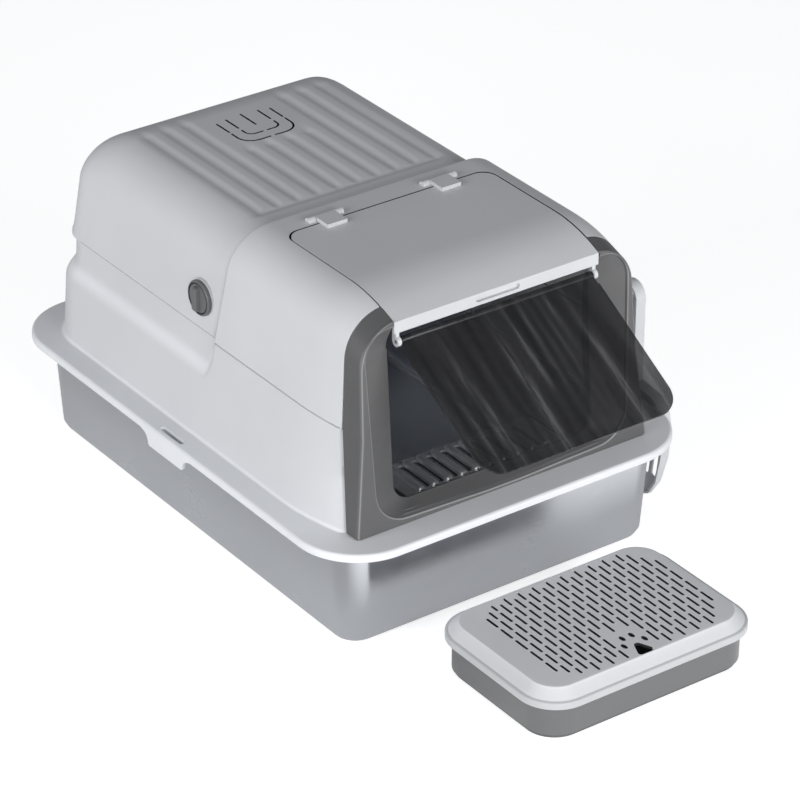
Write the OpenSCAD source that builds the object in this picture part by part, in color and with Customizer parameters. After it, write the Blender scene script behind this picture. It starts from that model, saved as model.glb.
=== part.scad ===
// Hooded litter box: steel pan, clip-on frame, ribbed hood with a flip-up lid,
// dark front bezel with a smoked swing flap, hanging scoop and a loose step tray.
// Front faces -Y, up is +Z, and the origin is the centre of the pan's underside.

/* [Rim and pan] */
// Width of the rim across the box
rim_w = 435; // [420:1:450]
// Length of the rim from front to back
rim_l = 600; // [580:1:620]
// Corner radius of the rim
rim_r = 68; // [60:1:76]
// Height of the ledge on top of the rim
ledge_z = 119; // [112:1:126]
// Depth of the skirt below the ledge
skirt_h = 8.5; // [7:0.5:12]
// Wall of every moulded plastic shell
wall = 3; // [2.4:0.1:3.6]
// Width of the pan's flat underside
pan_w = 367; // [357:1:371]
// Length of the pan's flat underside
pan_l = 533; // [520:1:538]
// Corner radius of the pan at the floor
pan_r = 22; // [16:1:30]
// Outward lean of the pan walls, per side
pan_flare = 7.5; // [4:0.5:9]
// Sheet thickness of the steel pan
pan_t = 1.2; // [0.8:0.1:1.6]
// Width of the pan's flange
flange_w = 14; // [10:1:18]

/* [Body] */
// Half width of the body where it leaves the ledge
foot_w = 190; // [186:1:194]
// Half width of the body at the parting seam
seam_w = 165; // [161:1:169]
// Height of the parting seam between frame and hood
seam_z = 214.6; // [205:1:224]
// Height of the roof over the front
roof_z = 345.5; // [335:1:355]
// How far the ribbed rear part lies inside the front part
step_in = 7; // [4:0.5:9]
// Radius of the long roof shoulders
shoulder_r = 45; // [38:1:50]
// Front face at the ledge, ahead of the middle
face_y = 268; // [262:1:274]
// Backward lean of the front face, per mm of height
face_lean = 0.081; // [0.05:0.005:0.11]
// Back wall at the seam, behind the middle
back_y = 268; // [260:1:276]
// Line where the bezel meets the side walls
bezel_y = 228; // [222:1:234]
// Gap along every parting line
part_gap = 0.5; // [0.4:0.1:0.8]

/* [Roof ribs and vent] */
// Spacing of the roof grooves
groove_pitch = 23.5; // [22:0.5:25]
// Number of roof grooves
groove_n = 10; // [6:2:10]
// Depth of a roof groove
groove_d = 3.6; // [2:0.2:4]
// Width of a vent slot
vent_slot = 2.6; // [2:0.2:3.4]
// Half width of the outer vent loop
vent_w = 32.5; // [28:0.5:36]

/* [Flip lid] */
// Width of the flip lid
lid_w = 241; // [232:1:246]
// Rear edge of the flip lid, ahead of the middle
lid_back = 71; // [68:1:76]
// Height of the lid's front lip
lip_h = 12; // [9:1:15]
// Radius of the lid hinge pins
pin_r = 1.6; // [1.2:0.1:2]
// Half spacing of the two lid hinges
hinge_x = 68; // [60:1:76]
// Width of a hinge leaf
leaf_w = 23; // [18:1:28]

/* [Swing flap] */
// Width of the smoked flap
flap_w = 230; // [222:1:232]
// Length of the flap below its pivots
flap_l = 163; // [150:1:168]
// Thickness of the flap
flap_t = 2.4; // [2:0.1:3]
// Angle at which the flap is pushed outward
flap_open = 60; // [0:1:80]
// Radius of the flap's pivot stubs
stub_r = 2; // [1.6:0.1:2.4]

/* [Bezel opening] */
// Width of the entrance
door_w = 238; // [234:1:242]
// Height of the entrance sill
sill_z = 134; // [131:1:140]
// Corner radius at the foot of the entrance
door_r = 20; // [14:1:26]
// Width of the steel entrance grate
grate_w = 189; // [170:1:210]
// Number of bars in the grate
bar_n = 10; // [8:2:12]

/* [Knobs and latches] */
// Radius of the turn knobs
knob_r = 18; // [15:0.5:20]
// Height of the knob axis
knob_z = 253; // [250:1:258]
// Place of the knob axis behind the middle
knob_y = 14; // [10:1:20]
// Radius of the knob shaft
shaft_r = 4; // [3:0.5:5]
// Reach of the latch arm from the knob axis
latch_reach = 58; // [56:1:60]

/* [Scoop] */
// Width of the scoop blade
blade_w = 129; // [115:1:135]
// Overall length of the scoop
scoop_l = 240; // [228:1:244]
// Width of the scoop handle
grip_w = 32; // [26:1:38]

/* [Step tray] */
// Width of the step tray cover
step_w = 262; // [240:1:280]
// Depth of the step tray cover, front to back
step_d = 184; // [160:1:200]
// Overall height of the step tray
step_h = 54; // [46:1:60]
// Corner radius of the step tray cover
step_r = 40; // [30:1:46]
// Place of the step tray's centre ahead of the box's middle
step_y = 419; // [416:1:440]
// Width of a sieve slot in the cover
sieve_slot = 2.2; // [1.6:0.2:3]

/* [Hidden] */
$fn = 48;

light = [0.80, 0.81, 0.83];
dark = [0.28, 0.29, 0.30];
steel = [0.72, 0.74, 0.77];
arc_n = 6;

rim_hw = rim_w / 2;
rim_hl = rim_l / 2;
skirt_z = ledge_z - skirt_h;
flange_z = ledge_z - wall;
run_gap = 0.3;

// Points of an arc in the plane
function arc(cx, cy, r, a0, a1, n = arc_n) =
  [for (i = [0:n]) let (a = a0 + (a1 - a0) * i / n) [cx + r * cos(a), cy + r * sin(a)]];

// Rounded rectangle outline with its own radii at front and back
function outline(w, yf, yb, rf, rb) = concat(
  arc(w - rb, yb - rb, rb, 0, 90), arc(-w + rb, yb - rb, rb, 90, 180),
  arc(-w + rf, yf + rf, rf, 180, 270), arc(w - rf, yf + rf, rf, 270, 360));

function ring(w, yf, yb, rf, rb, z) = [for (p = outline(w, yf, yb, rf, rb)) [p[0], p[1], z]];

// Quads between the points a0.. and b0.. of two rings of n points
function band(a, b, n) = [for (i = [0:n - 1])
  for (t = [0, 1]) let (j = (i + 1) % n)
    t == 0 ? [a + i, b + i, b + j] : [a + i, b + j, a + j]];

// Closed skin through a stack of rings, capped at both ends
module skin(rings) {
  n = len(rings[0]);
  m = len(rings);
  polyhedron(
    points = [for (r = rings) for (p = r) p],
    faces = concat(
      [[for (i = [0:n - 1]) i]],
      [for (k = [0:m - 2]) for (f = band(k * n, (k + 1) * n, n)) f],
      [[for (i = [n - 1:-1:0]) (m - 1) * n + i]]),
    convexity = 10);
}

// Closed skin through rings that end where they began, like a tyre
module hoop(rings) {
  n = len(rings[0]);
  m = len(rings);
  polyhedron(
    points = [for (r = rings) for (p = r) p],
    faces = [for (k = [0:m - 1]) for (f = band(k * n, ((k + 1) % m) * n, n)) f],
    convexity = 10);
}

// Exact rounded rectangle from squares and circles
module round_rect(w, l, r) {
  square([w - 2 * r, l], center = true);
  square([w, l - 2 * r], center = true);
  for (x = [-1, 1])
    for (y = [-1, 1])
      translate([x * (w / 2 - r), y * (l / 2 - r)])
        circle(r);
}

// Slot with round ends, along Y, centred
module slot(w, l) {
  square([w, l - w], center = true);
  for (y = [-1, 1])
    translate([0, y * (l - w) / 2])
      circle(w / 2);
}

// Steel pan

pan_fillet = 9;
module pan() {
  hw = pan_w / 2;
  hl = pan_l / 2;
  top = flange_z - pan_t;
  // half width added at height z
  function lean(z) = pan_flare * z / top;
  function out(e, z, r) = ring(hw + e, -hl - e, hl + e, r, r, z);
  r_top = pan_r + 8;
  color(steel)
    skin([
      out(-pan_fillet, 0, pan_r - 4),
      out(-pan_fillet * 0.3, pan_fillet * 0.3, pan_r),
      out(lean(pan_fillet), pan_fillet, pan_r + 2),
      out(lean(top), top, r_top),
      out(lean(top) + flange_w - pan_t, top, r_top + flange_w),
      out(lean(top) + flange_w - pan_t, top - 3, r_top + flange_w),
      out(lean(top) + flange_w, top - 3, r_top + flange_w),
      out(lean(top) + flange_w, flange_z, r_top + flange_w),
      out(lean(top) - pan_t, flange_z, r_top - pan_t),
      out(lean(pan_fillet) - pan_t, pan_fillet, pan_r),
      out(-pan_fillet * 0.3 - pan_t, pan_fillet * 0.3 + pan_t * 0.6, pan_r - 2),
      out(-pan_fillet, pan_t, pan_r - 4)]);
}

// Frame with the rim, side lugs and the lower body wall

recess_z = seam_z - 45;
recess_y = -14;
recess_r = 18;
wall_slope = (foot_w - seam_w) / (seam_z - ledge_z);
foot_back = back_y + 4;
foot_front = 250;
lug_y = 0;
lug_l = 62;
lug_drop = 14;
slot_l = 40;
slot_w = 6;

// Front edge of the recessed band at height z, with its rounded corner
function recess_edge(z) = z > recess_z + recess_r ? recess_y
  : recess_y + recess_r - sqrt(max(0, pow(recess_r, 2) - pow(recess_z + recess_r - z, 2)));

// One ring of the lower wall: inset is taken behind the recess edge only
function wall_ring(z, e, inset) =
  let (w = foot_w - (z - ledge_z) * wall_slope + e,
    k = (z - ledge_z) / (seam_z - ledge_z),
    yf = -foot_front + (foot_front - bezel_y) * k - e,
    yb = foot_back - 4 * k + e,
    ye = recess_edge(z), v = w - inset, b = yb - inset)
  [for (p = concat(
      arc(v - 36, b - 36, 36, 0, 90), arc(-v + 36, b - 36, 36, 90, 180),
      [[-v, ye + 1], [-w, ye - 1]],
      [[-w, yf + 24]], [[-w + 7, yf]],
      [[w - 7, yf]], [[w, yf + 24]],
      [[w, ye - 1], [v, ye + 1]])) [p[0], p[1], z]];

module base_frame() {
  lip = 2.5;
  mouth_hw = door_w / 2 + 9;
  color(light)
    difference() {
      union() {
        // ledge and skirt
        difference() {
          translate([0, 0, skirt_z])
            linear_extrude(skirt_h)
              round_rect(rim_w, rim_l, rim_r);
          translate([0, 0, skirt_z - 1])
            linear_extrude(skirt_h - wall + 1)
              round_rect(rim_w - 2 * wall, rim_l - 2 * wall, rim_r - wall);
        }
        // side lugs that steady the frame on the pan
        for (s = [-1, 1])
          translate([s * (rim_hw - wall / 2), lug_y, skirt_z])
            rotate([90, 0, 90])
              linear_extrude(wall, center = true)
                lug_face();
        wall_shell();
        // catches for the latch arms
        for (s = [-1, 1])
          translate([s * (catch_x + catch_t / 2), knob_y, catch_z])
            cube([catch_t, 16, 4], center = true);
      }
      // inside of the ledge
      translate([0, 0, skirt_z - 1])
        linear_extrude(skirt_h + 2)
          round_rect(2 * (foot_w - wall - lip), foot_back + foot_front - 20, 30);
      // entrance mouth behind the bezel
      translate([-mouth_hw, -bezel_y - 60, ledge_z + 1])
        cube([2 * mouth_hw, 90, seam_z]);
      // moulding slots above the lugs
      for (s = [-1, 1])
        translate([s * (rim_hw - 9), lug_y, skirt_z - 1])
          linear_extrude(skirt_h + 2)
            slot(slot_w, slot_l);
      // slot that takes the scoop hanger
      translate([rim_hw - 9, hanger_y, skirt_z - 1])
        linear_extrude(skirt_h + 2)
          square([slot_w - 2, hanger_w + 2], center = true);
    }
}

// Lug seen from the side, with hollow fillets at its ends
module lug_face() {
  f = 12;
  polygon(concat(
    [[-lug_l / 2 - f, 1], [-lug_l / 2 - f, 0]],
    [for (a = [0:15:90]) [-lug_l / 2 - f + f * sin(a), -f + f * cos(a)]],
    [[-lug_l / 2 + 2, -lug_drop], [lug_l / 2 - 2, -lug_drop]],
    [for (a = [90:-15:0]) [lug_l / 2 + f - f * sin(a), -f + f * cos(a)]],
    [[lug_l / 2 + f, 0], [lug_l / 2 + f, 1]]));
}

// Wall from the ledge to the seam, recessed behind, in one skin
module wall_shell() {
  zr = recess_z;
  rise = [zr + 2, zr + 5, zr + 10, zr + recess_r];
  hoop(concat(
    [wall_ring(ledge_z - 1, 0, 0), wall_ring(zr, 0, 0), wall_ring(zr + 0.6, 0, step_in)],
    [for (z = rise) wall_ring(z, 0, step_in)],
    [wall_ring(seam_z, 0, step_in)],
    [wall_ring(seam_z, -wall, step_in)],
    [for (i = [len(rise) - 1:-1:0]) wall_ring(rise[i] - wall, -wall, step_in)],
    [wall_ring(zr - wall, -wall, 0), wall_ring(ledge_z - 1, -wall, 0)]));
}

// Hood

roof_low = roof_z - step_in;
roof_t = 7;
back_r = 45;
top_draft = 0.033;
hood_top_w = seam_w - (roof_z - shoulder_r - seam_z) * top_draft;
droop_y = 180;
droop_r = 158;

function droop(y) = y > -droop_y ? 0 : pow(-y - droop_y, 2) / (2 * droop_r);

// Cross section: left seam, up, over the roof and down to the right seam.
// d shrinks it, e is wall thickness taken off, t is taken off the roof
function arch(w, zt, r, e, t, yl, yh) =
  let (hw = w - e, z1 = zt - t, rr = max(1.5, r - e),
    side = concat([[hw + bead, seam_z], [hw + bead, seam_z + 4], [hw, seam_z + 9]],
      arc(hw - rr - (z1 - rr - seam_z) * top_draft, z1 - rr, rr, 0, 90, 7)),
    left = [for (i = [0:len(side) - 1]) [-side[i][0], side[i][1]]],
    n = len(side))
  [for (p = concat(left, [for (i = [n - 1:-1:0]) side[i]]))
    [p[0], yl + (yh - yl) * (p[1] - seam_z) / (roof_z - seam_z), p[1]]];

bead = 1.5;
// Stations of the hood from back to front: y at seam, y at roof, width, roof height, radius
function stations(e) = concat(
  [for (a = [0:15:90]) let (q = back_r * (1 - sin(a)), y = back_y - e - back_r * (1 - cos(a)))
    [y, y - 6, seam_w - step_in - q, roof_low - q, max(3, shoulder_r + 3 - q)]],
  [[step_y0, step_y1, seam_w - step_in, roof_low, shoulder_r + 3],
    [step_y0 - 3, step_y1 - 3, seam_w - step_in * 0.35, roof_z - step_in * 0.35, shoulder_r + 1],
    [step_y0 - 7, step_y1 - 7, seam_w, roof_z, shoulder_r],
    [-droop_y, -droop_y, seam_w, roof_z, shoulder_r]],
  [for (k = [0.4, 0.7, 1]) let (y = -droop_y - (bezel_y - part_gap - droop_y) * k)
    [y, y, seam_w - 4 * k, roof_z - droop(y), shoulder_r - 2 * k]]);

step_y0 = -14;
step_y1 = -34;

module hood_shell() {
  so = stations(0);
  si = stations(wall);
  m = len(so);
  outer = [for (s = so) arch(s[2], s[3], s[4], 0, 0, s[0], s[1])];
  inner = [for (i = [0:m - 1]) let (s = si[i])
    arch(s[2], s[3], s[4], wall, s[3] > roof_low ? wall : roof_t, s[0], s[1])];
  n = len(outer[0]);
  b = m * n;
  polyhedron(
    points = concat([for (r = outer) for (p = r) p], [for (r = inner) for (p = r) p]),
    faces = concat(
      // outside
      [for (i = [0:m - 2]) for (j = [0:n - 2]) for (t = [0, 1])
        let (a = i * n + j, c = a + n)
        t == 0 ? [a, a + 1, c + 1] : [a, c + 1, c]],
      // inside
      [for (i = [0:m - 2]) for (j = [0:n - 2]) for (t = [0, 1])
        let (a = b + i * n + j, c = a + n)
        t == 0 ? [a, c + 1, a + 1] : [a, c, c + 1]],
      // bottom edges
      [for (i = [0:m - 2]) for (t = [0, 1]) let (a = i * n, c = a + n)
        t == 0 ? [a, c, b + c] : [a, b + c, b + a]],
      [for (i = [0:m - 2]) for (t = [0, 1]) let (a = i * n + n - 1, c = a + n)
        t == 0 ? [a, b + c, c] : [a, b + a, b + c]],
      // front edge
      [for (j = [0:n - 2]) for (t = [0, 1]) let (a = (m - 1) * n + j)
        t == 0 ? [a, a + 1, b + a + 1] : [a, b + a + 1, b + a]],
      // back wall, its lower edge, and the back of the cavity
      [[for (j = [n - 1:-1:0]) j]],
      [[0, b, b + n - 1, n - 1]],
      [[for (j = [0:n - 1]) b + j]]),
    convexity = 10);
}

rail_w = 9;
lid_gap = 1;
axis_y = -62;
axis_z = roof_z + 0.4;
knuckle_r = 3.6;
ear_w = 6.5;

module roof_grooves() {
  gr = (pow(groove_pitch / 2 - 1.5, 2) + pow(groove_d, 2)) / (2 * groove_d);
  zc = roof_low + gr - groove_d;
  for (i = [0:groove_n - 1]) {
    x = (i - (groove_n - 1) / 2) * groove_pitch;
    near_vent = abs(x) < vent_w + 8;
    y1 = near_vent ? vent_y - 58 : back_y - back_r - 16;
    translate([x, -10, zc])
      rotate([-90, 0, 0])
        cylinder(r = gr, h = y1 + 10, $fn = 64);
    for (y = [-10, y1])
      translate([x, y, zc])
        sphere(gr, $fn = 64);
  }
}

vent_y = 168;
// Nested U-shaped odour slots, open towards the back
module vent_slots() {
  for (x = [0, vent_w * 0.6, vent_w])
    for (s = x == 0 ? [1] : [-1, 1])
      translate([s * x, vent_y + (x == vent_w ? 0 : 3)])
        slot(vent_slot, x == 0 ? 30 : 25);
  for (r = [vent_w * 0.6, vent_w])
    translate([0, vent_y - 16])
      difference() {
        intersection() {
          circle(r + vent_slot / 2);
          translate([-60, -60])
            square([120, 58]);
        }
        circle(r - vent_slot / 2);
        translate([-2, -60])
          square([4, 60]);
      }
}

module upper_hood() {
  color(light)
    difference() {
      union() {
        difference() {
          hood_shell();
          translate([0, -lid_back + lid_gap, roof_z - 60])
            lid_hole(lid_w / 2 + lid_gap, 80);
        }
        lid_rails();
        hinge_ears();
        filter_guides();
        bezel_tabs();
        // flat pads that the knobs turn on
        for (s = [-1, 1])
          translate([s * (knob_x - 1), knob_y, knob_z])
            rotate([0, s * 90, 0])
              cylinder(r = knob_r + 1.5, h = pad_h + 1);
      }
      roof_grooves();
      translate([0, 0, roof_low - roof_t - 1])
        linear_extrude(roof_t + 2)
          vent_slots();
      // knob shaft holes
      translate([0, knob_y, knob_z])
        rotate([0, 90, 0])
          cylinder(r = shaft_r + shaft_fit, h = 2 * seam_w + 20, center = true);
      // pockets for the hinge leaves, and the pin bores
      for (s = [-1, 1])
        translate([s * hinge_x, axis_y, axis_z]) {
          translate([-leaf_w / 2 - 0.4, -12, -knuckle_r - 0.6])
            cube([leaf_w + 0.8, 16.5, 2 * knuckle_r + 4]);
          rotate([0, 90, 0])
            cylinder(r = pin_r, h = leaf_w + 2 * ear_w + 2, center = true);
        }
    }
}

lid_skirt = 6;
// Plan of the lid hole, open to the front
module lid_hole(hw, h) {
  linear_extrude(h)
    difference() {
      translate([-hw, -200])
        square([2 * hw, 200]);
      for (s = [-1, 1])
        translate([s * (hw - lid_r), -lid_r])
          difference() {
            translate([s > 0 ? 0 : -lid_r - 1, 0])
              square([lid_r + 1, lid_r + 1]);
            circle(lid_r);
          }
    }
}
lid_r = 16;

// Side view of a strip that follows the lid's curve, from depth a to b
function lid_line(y0, y1, d) = [for (i = [0:12]) let (y = y0 + (y1 - y0) * i / 12) [y, roof_z - droop(y) - d]];
module lid_strip(y0, y1, a, b) {
  polygon(concat(lid_line(y0, y1, a), [for (i = [12:-1:0]) lid_line(y0, y1, b)[i]]));
}

// Extrudes a (y, z) outline across X
module across(w) {
  rotate([90, 0, 90])
    linear_extrude(w, center = true)
      children();
}

// Rails that carry the edges of the closed lid
module lid_rails() {
  top = lid_skirt + run_gap;
  for (s = [-1, 1])
    translate([s * (lid_w / 2 + lid_gap + 1 - rail_w / 2), 0, 0])
      across(rail_w)
        lid_strip(-lid_back + 6, -bezel_y + part_gap + 1, top, top + 2.5);
  translate([0, -lid_back - rail_w / 2 + 6, roof_z - top - 1.25])
    cube([lid_w, rail_w, 2.5], center = true);
  // web from rail to shoulder
  for (s = [-1, 1])
    translate([s * (lid_w / 2 + lid_gap + 2), 0, 0])
      across(2)
        lid_strip(-lid_back + 6, -bezel_y + part_gap + 1, 2, top + 2.5);
  translate([0, -lid_back + 4, roof_z - top / 2 - 2])
    cube([lid_w - 2 * lid_r, 4, top], center = true);
}

module hinge_ears() {
  for (s = [-1, 1])
    for (t = [-1, 1])
      translate([s * hinge_x + t * (leaf_w / 2 + 0.4 + ear_w / 2), axis_y, axis_z])
        rotate([0, 90, 0]) {
          cylinder(r = knuckle_r, h = ear_w, center = true);
          translate([knuckle_r / 2 + 0.4, 1.5, 0])
            cube([knuckle_r + 0.8, 2 * knuckle_r + 5, ear_w], center = true);
        }
}

// Guides under the vent that hold the filter tray
tray_w = 92;
tray_l = 74;
tray_h = 14;
tray_flange = 4;
guide_t = 2.5;
module filter_guides() {
  for (s = [-1, 1])
    translate([s * (tray_w / 2 + tray_flange + run_gap), vent_y + tray_l / 2, 0])
      mirror([s < 0 ? 1 : 0, 0, 0])
        rotate([90, 0, 0])
          linear_extrude(tray_l)
            polygon([
              [0, tray_z - 2], [0, tray_z + 1], [guide_t, tray_z + 1], [guide_t, tray_z - 4.5],
              [-tray_flange + 0.3, tray_z - 4.5], [-tray_flange + 0.3, tray_z - 2]]);
}

// Bezel

shelf_t = 2.5;
shelf_back = 180;
function face(z) = -face_y + face_lean * (z - ledge_z);
function back_line(z) = z > seam_z ? -bezel_y
  : -foot_front + (foot_front - bezel_y) * (z - ledge_z) / (seam_z - ledge_z);

// One loop of the bezel: right half from the foot to the top, mirrored.
// w0, wk and w1 are half widths at the foot z0, the kink zk and the top z1
function bezel_loop(w0, z0, r0, wk, zk, w1, z1, r1, mode, d) =
  let (right = concat(
      arc(w0 - r0, z0 + r0, r0, -90, 0, 4), [[wk, zk]],
      arc(w1 - r1, z1 - r1, r1, 0, 90, 8)),
    all = concat(right, [for (i = [len(right) - 1:-1:0]) [-right[i][0], right[i][1]]]))
  [for (p = all) [p[0], mode == "back" ? back_line(p[1]) - d : face(p[1]) + d, p[1]]];

module front_bezel() {
  dw = door_w / 2;
  b0 = ledge_z + 0.2;
  top_b = roof_z - droop(-bezel_y);
  top_f = roof_z - droop(-250);
  k = 4;
  color(dark)
    difference() {
      union() {
        hoop([
          bezel_loop(foot_w - 8, b0, 2, seam_w - k, seam_z, hood_top_w - k, top_b, 43, "back", part_gap),
          bezel_loop(foot_w - 13, b0, 2, seam_w - k + 1, seam_z, hood_top_w - k + 1, top_f + 3.5, 43, "face", 11),
          bezel_loop(foot_w - 15, b0, 2, seam_w - k - 1, seam_z, hood_top_w - k - 1, top_f + 1.5, 42, "face", 4),
          bezel_loop(foot_w - 20, b0 + 1, 3, seam_w - k - 6, seam_z, hood_top_w - k - 5, top_f - 0.5, 40, "face", 0),
          bezel_loop(foot_w - 38, b0 + 3.5, 26, seam_w - 12, seam_z, hood_top_w - 9, top_f - 2, 40, "face", 0.4),
          bezel_loop(foot_w - 39, b0 + 5, 25, seam_w - 13.5, seam_z, hood_top_w - 10.5, top_f - 3, 39, "face", 3),
          bezel_loop(dw, sill_z, door_r, dw, seam_z, dw, top_f - 12, 8, "face", 9),
          bezel_loop(dw, sill_z, door_r, dw, seam_z, dw, top_f - 12, 8, "back", part_gap),
          bezel_loop(dw + wall, sill_z - wall, door_r + wall, dw + wall, seam_z,
            dw + wall, top_f - 9, 8, "back", part_gap),
          bezel_loop(dw + wall, sill_z - wall, door_r + wall, dw + wall, seam_z,
            dw + wall, top_f - 9, 8, "face", 12),
          bezel_loop(foot_w - 18, b0 + wall, 3, seam_w - k - 8, seam_z,
            hood_top_w - k - 7, top_f - 3, 36, "face", 8),
          bezel_loop(foot_w - 8 - wall, b0 + wall, 3, seam_w - k - wall, seam_z,
            hood_top_w - k - wall, top_b - wall, 40, "back", part_gap)]);
        // shelf behind the sill that carries the grate
        translate([-grate_w / 2 - 4, -face_y + 5, grate_z - shelf_t])
          cube([grate_w + 8, face_y - 5 - shelf_back, shelf_t]);
        for (s = [-1, 1])
          for (z = screw_z)
            translate([s * screw_x, -bezel_y - part_gap, z])
              rotate([90, 0, 0])
                cylinder(r = 4.5, h = face_y - bezel_y - 20);
      }
      // room for the lid and its lugs
      translate([-lid_w / 2 - lid_gap, -face_y - 20, roof_z - 48])
        cube([lid_w + 2 * lid_gap, 100, 60]);
      // well for the litter that the grate lets through
      for (i = [0:bar_n - 2])
        translate([grate_x(i) + bar_pitch / 2, -(grate_front + shelf_back) / 2, grate_z - shelf_t - 1])
          linear_extrude(shelf_t + 2)
            slot(bar_pitch - bar_w, grate_front - shelf_back - 2 * grate_edge);
      for (s = [-1, 1])
        for (z = screw_z)
          translate([s * screw_x, -bezel_y + 1, z])
            rotate([90, 0, 0])
              cylinder(r = screw_r, h = screw_l + 2);
    }
}

screw_x = seam_w - 16;
screw_z = [seam_z + 18, seam_z + 58];
screw_r = 1.6;
screw_l = 14;
tab_w = 16;

// Tabs inside the hood's front edge that take the bezel screws
module bezel_tabs() {
  for (s = [-1, 1])
    for (z = screw_z)
      translate([s * (screw_x + 1.5), -bezel_y + part_gap + wall / 2, z])
        difference() {
          cube([tab_w, wall, tab_w - 4], center = true);
          translate([-s * 1.5, 0, 0])
            rotate([90, 0, 0])
              cylinder(r = screw_r + 0.2, h = wall + 2, center = true);
        }
}

// Screws from inside the hood that hold the bezel
module bezel_screws() {
  color(steel)
    for (s = [-1, 1])
      for (z = screw_z)
        translate([s * screw_x, -bezel_y + part_gap + wall, z])
          rotate([90, 0, 0]) {
            cylinder(r = screw_r, h = screw_l);
            translate([0, 0, -2.2])
              cylinder(r = 3.2, h = 2.2);
          }
}

// Entrance grate

grate_t = 1.6;
grate_z = sill_z - 9;
grate_edge = 7;
grate_front = face_y - 27;
bar_pitch = (grate_w - 2 * grate_edge + 3) / (bar_n + 0.5);
bar_w = bar_pitch * 0.5;
function grate_x(i) = (i - (bar_n - 1) / 2) * bar_pitch;

module entrance_grate() {
  y0 = -grate_front;
  len = grate_front - shelf_back;
  color(steel)
    difference() {
      union() {
        translate([0, y0 + len / 2, grate_z])
          linear_extrude(grate_t)
            round_rect(grate_w, len, 9);
        // raised round backs of the bars
        for (i = [0:bar_n - 1])
          translate([grate_x(i), y0 + grate_edge, grate_z + grate_t])
            bar(len - 2 * grate_edge);
      }
      for (i = [0:bar_n - 2])
        translate([grate_x(i) + bar_pitch / 2, y0 + len / 2, grate_z - 1])
          linear_extrude(6)
            slot(bar_pitch - bar_w, len - 2 * grate_edge);
    }
}

module bar(l) {
  r = bar_w / 2;
  intersection() {
    union() {
      rotate([-90, 0, 0])
        cylinder(r = r, h = l);
      sphere(r);
      translate([0, l, 0])
        sphere(r);
    }
    translate([-r, -r, 0])
      cube([2 * r, l + 2 * r, r]);
  }
}

// Flip lid with its leaves and the lugs that carry the flap

pivot_y = -248.5;
pivot_z = 308;
lug_t = 4;
lid_front = 250;

module lid_plan(inset) {
  hw = lid_w / 2 - inset;
  len = lid_front - lid_back;
  translate([0, -lid_back - len / 2])
    difference() {
      square([2 * hw, len - 2 * inset], center = true);
      for (s = [-1, 1])
        translate([s * (hw - lid_r), len / 2 - inset - lid_r])
          difference() {
            translate([s > 0 ? 0 : -lid_r - 1, 0])
              square([lid_r + 1, lid_r + 1]);
            circle(lid_r);
          }
    }
}

module flip_lid() {
  front_z = roof_z - droop(-lid_front);
  color(light)
    difference() {
      union() {
        difference() {
          intersection() {
            across(lid_w)
              lid_strip(-lid_back, -lid_front, 0, lid_skirt);
            translate([0, 0, roof_z - 60])
              linear_extrude(80)
                lid_plan(0);
          }
          intersection() {
            across(lid_w)
              lid_strip(-lid_back, -lid_front, wall, 20);
            translate([0, 0, roof_z - 60])
              linear_extrude(80)
                lid_plan(2.5);
          }
        }
        // front lip, thicker where the fingers go
        translate([0, -lid_front + wall / 2, front_z - lip_h / 2 - 0.4])
          cube([lid_w, wall, lip_h], center = true);
        translate([-32, -lid_front, front_z - lip_h])
          cube([64, 6, lip_h - 1]);
        for (s = [-1, 1]) {
          // lug for the flap
          translate([s * (flap_w / 2 - lug_t / 2 + 3), pivot_y, pivot_z])
            rotate([0, 90, 0]) {
              cylinder(r = 5, h = lug_t, center = true);
              translate([-8, 2.5, 0])
                cube([18, 6, lug_t], center = true);
            }
          // hinge leaf and knuckle
          translate([s * hinge_x, axis_y, axis_z]) {
            rotate([0, 90, 0])
              cylinder(r = knuckle_r, h = leaf_w, center = true);
            translate([-leaf_w / 2, -22, -0.4])
              cube([leaf_w, 22, knuckle_r + 0.4]);
          }
        }
      }
      // finger recess
      translate([0, -lid_front, front_z - lip_h / 2])
        rotate([90, 0, 0])
          linear_extrude(7, center = true)
            rotate(90)
              slot(6, 52);
      for (s = [-1, 1]) {
        translate([s * hinge_x, axis_y, axis_z])
          rotate([0, 90, 0])
            cylinder(r = pin_r + 0.06, h = leaf_w + 2, center = true);
        translate([s * (flap_w / 2 + 1), pivot_y, pivot_z])
          rotate([0, 90, 0])
            cylinder(r = stub_r + 0.06, h = 12, center = true);
      }
    }
}

module hinge_pin(s) {
  color(steel)
    translate([s * hinge_x, axis_y, axis_z])
      rotate([0, 90, 0])
        cylinder(r = pin_r, h = leaf_w + 2 * ear_w + 0.8, center = true);
}
module lid_hinge_pin_left() { hinge_pin(-1); }
module lid_hinge_pin_right() { hinge_pin(1); }

// Smoked flap, drawn hanging and then swung outward about its pivots
module swing_flap() {
  corner = 25;
  neck = 12;
  color([0.18, 0.18, 0.19, 0.75])
    translate([0, pivot_y, pivot_z])
      rotate([-flap_open, 0, 0])
        difference() {
          union() {
            rotate([90, 0, 0])
              linear_extrude(flap_t, center = true) {
                translate([-flap_w / 2, -flap_l + corner])
                  square([flap_w, flap_l - corner - neck]);
                translate([-flap_w / 2 + corner, -flap_l])
                  square([flap_w - 2 * corner, corner + 1]);
                for (s = [-1, 1])
                  translate([s * (flap_w / 2 - corner), -flap_l + corner])
                    circle(corner);
                translate([-flap_hinge_w / 2, -neck - 1])
                  square([flap_hinge_w, neck + 1]);
              }
            rotate([0, 90, 0])
              cylinder(r = stub_r + 1.4, h = flap_hinge_w, center = true);
            rotate([0, 90, 0])
              cylinder(r = stub_r, h = flap_w + 4, center = true);
          }
        }
}
flap_hinge_w = flap_w - 2 * lug_t + 6 - 1;

// Knobs with their shafts

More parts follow.
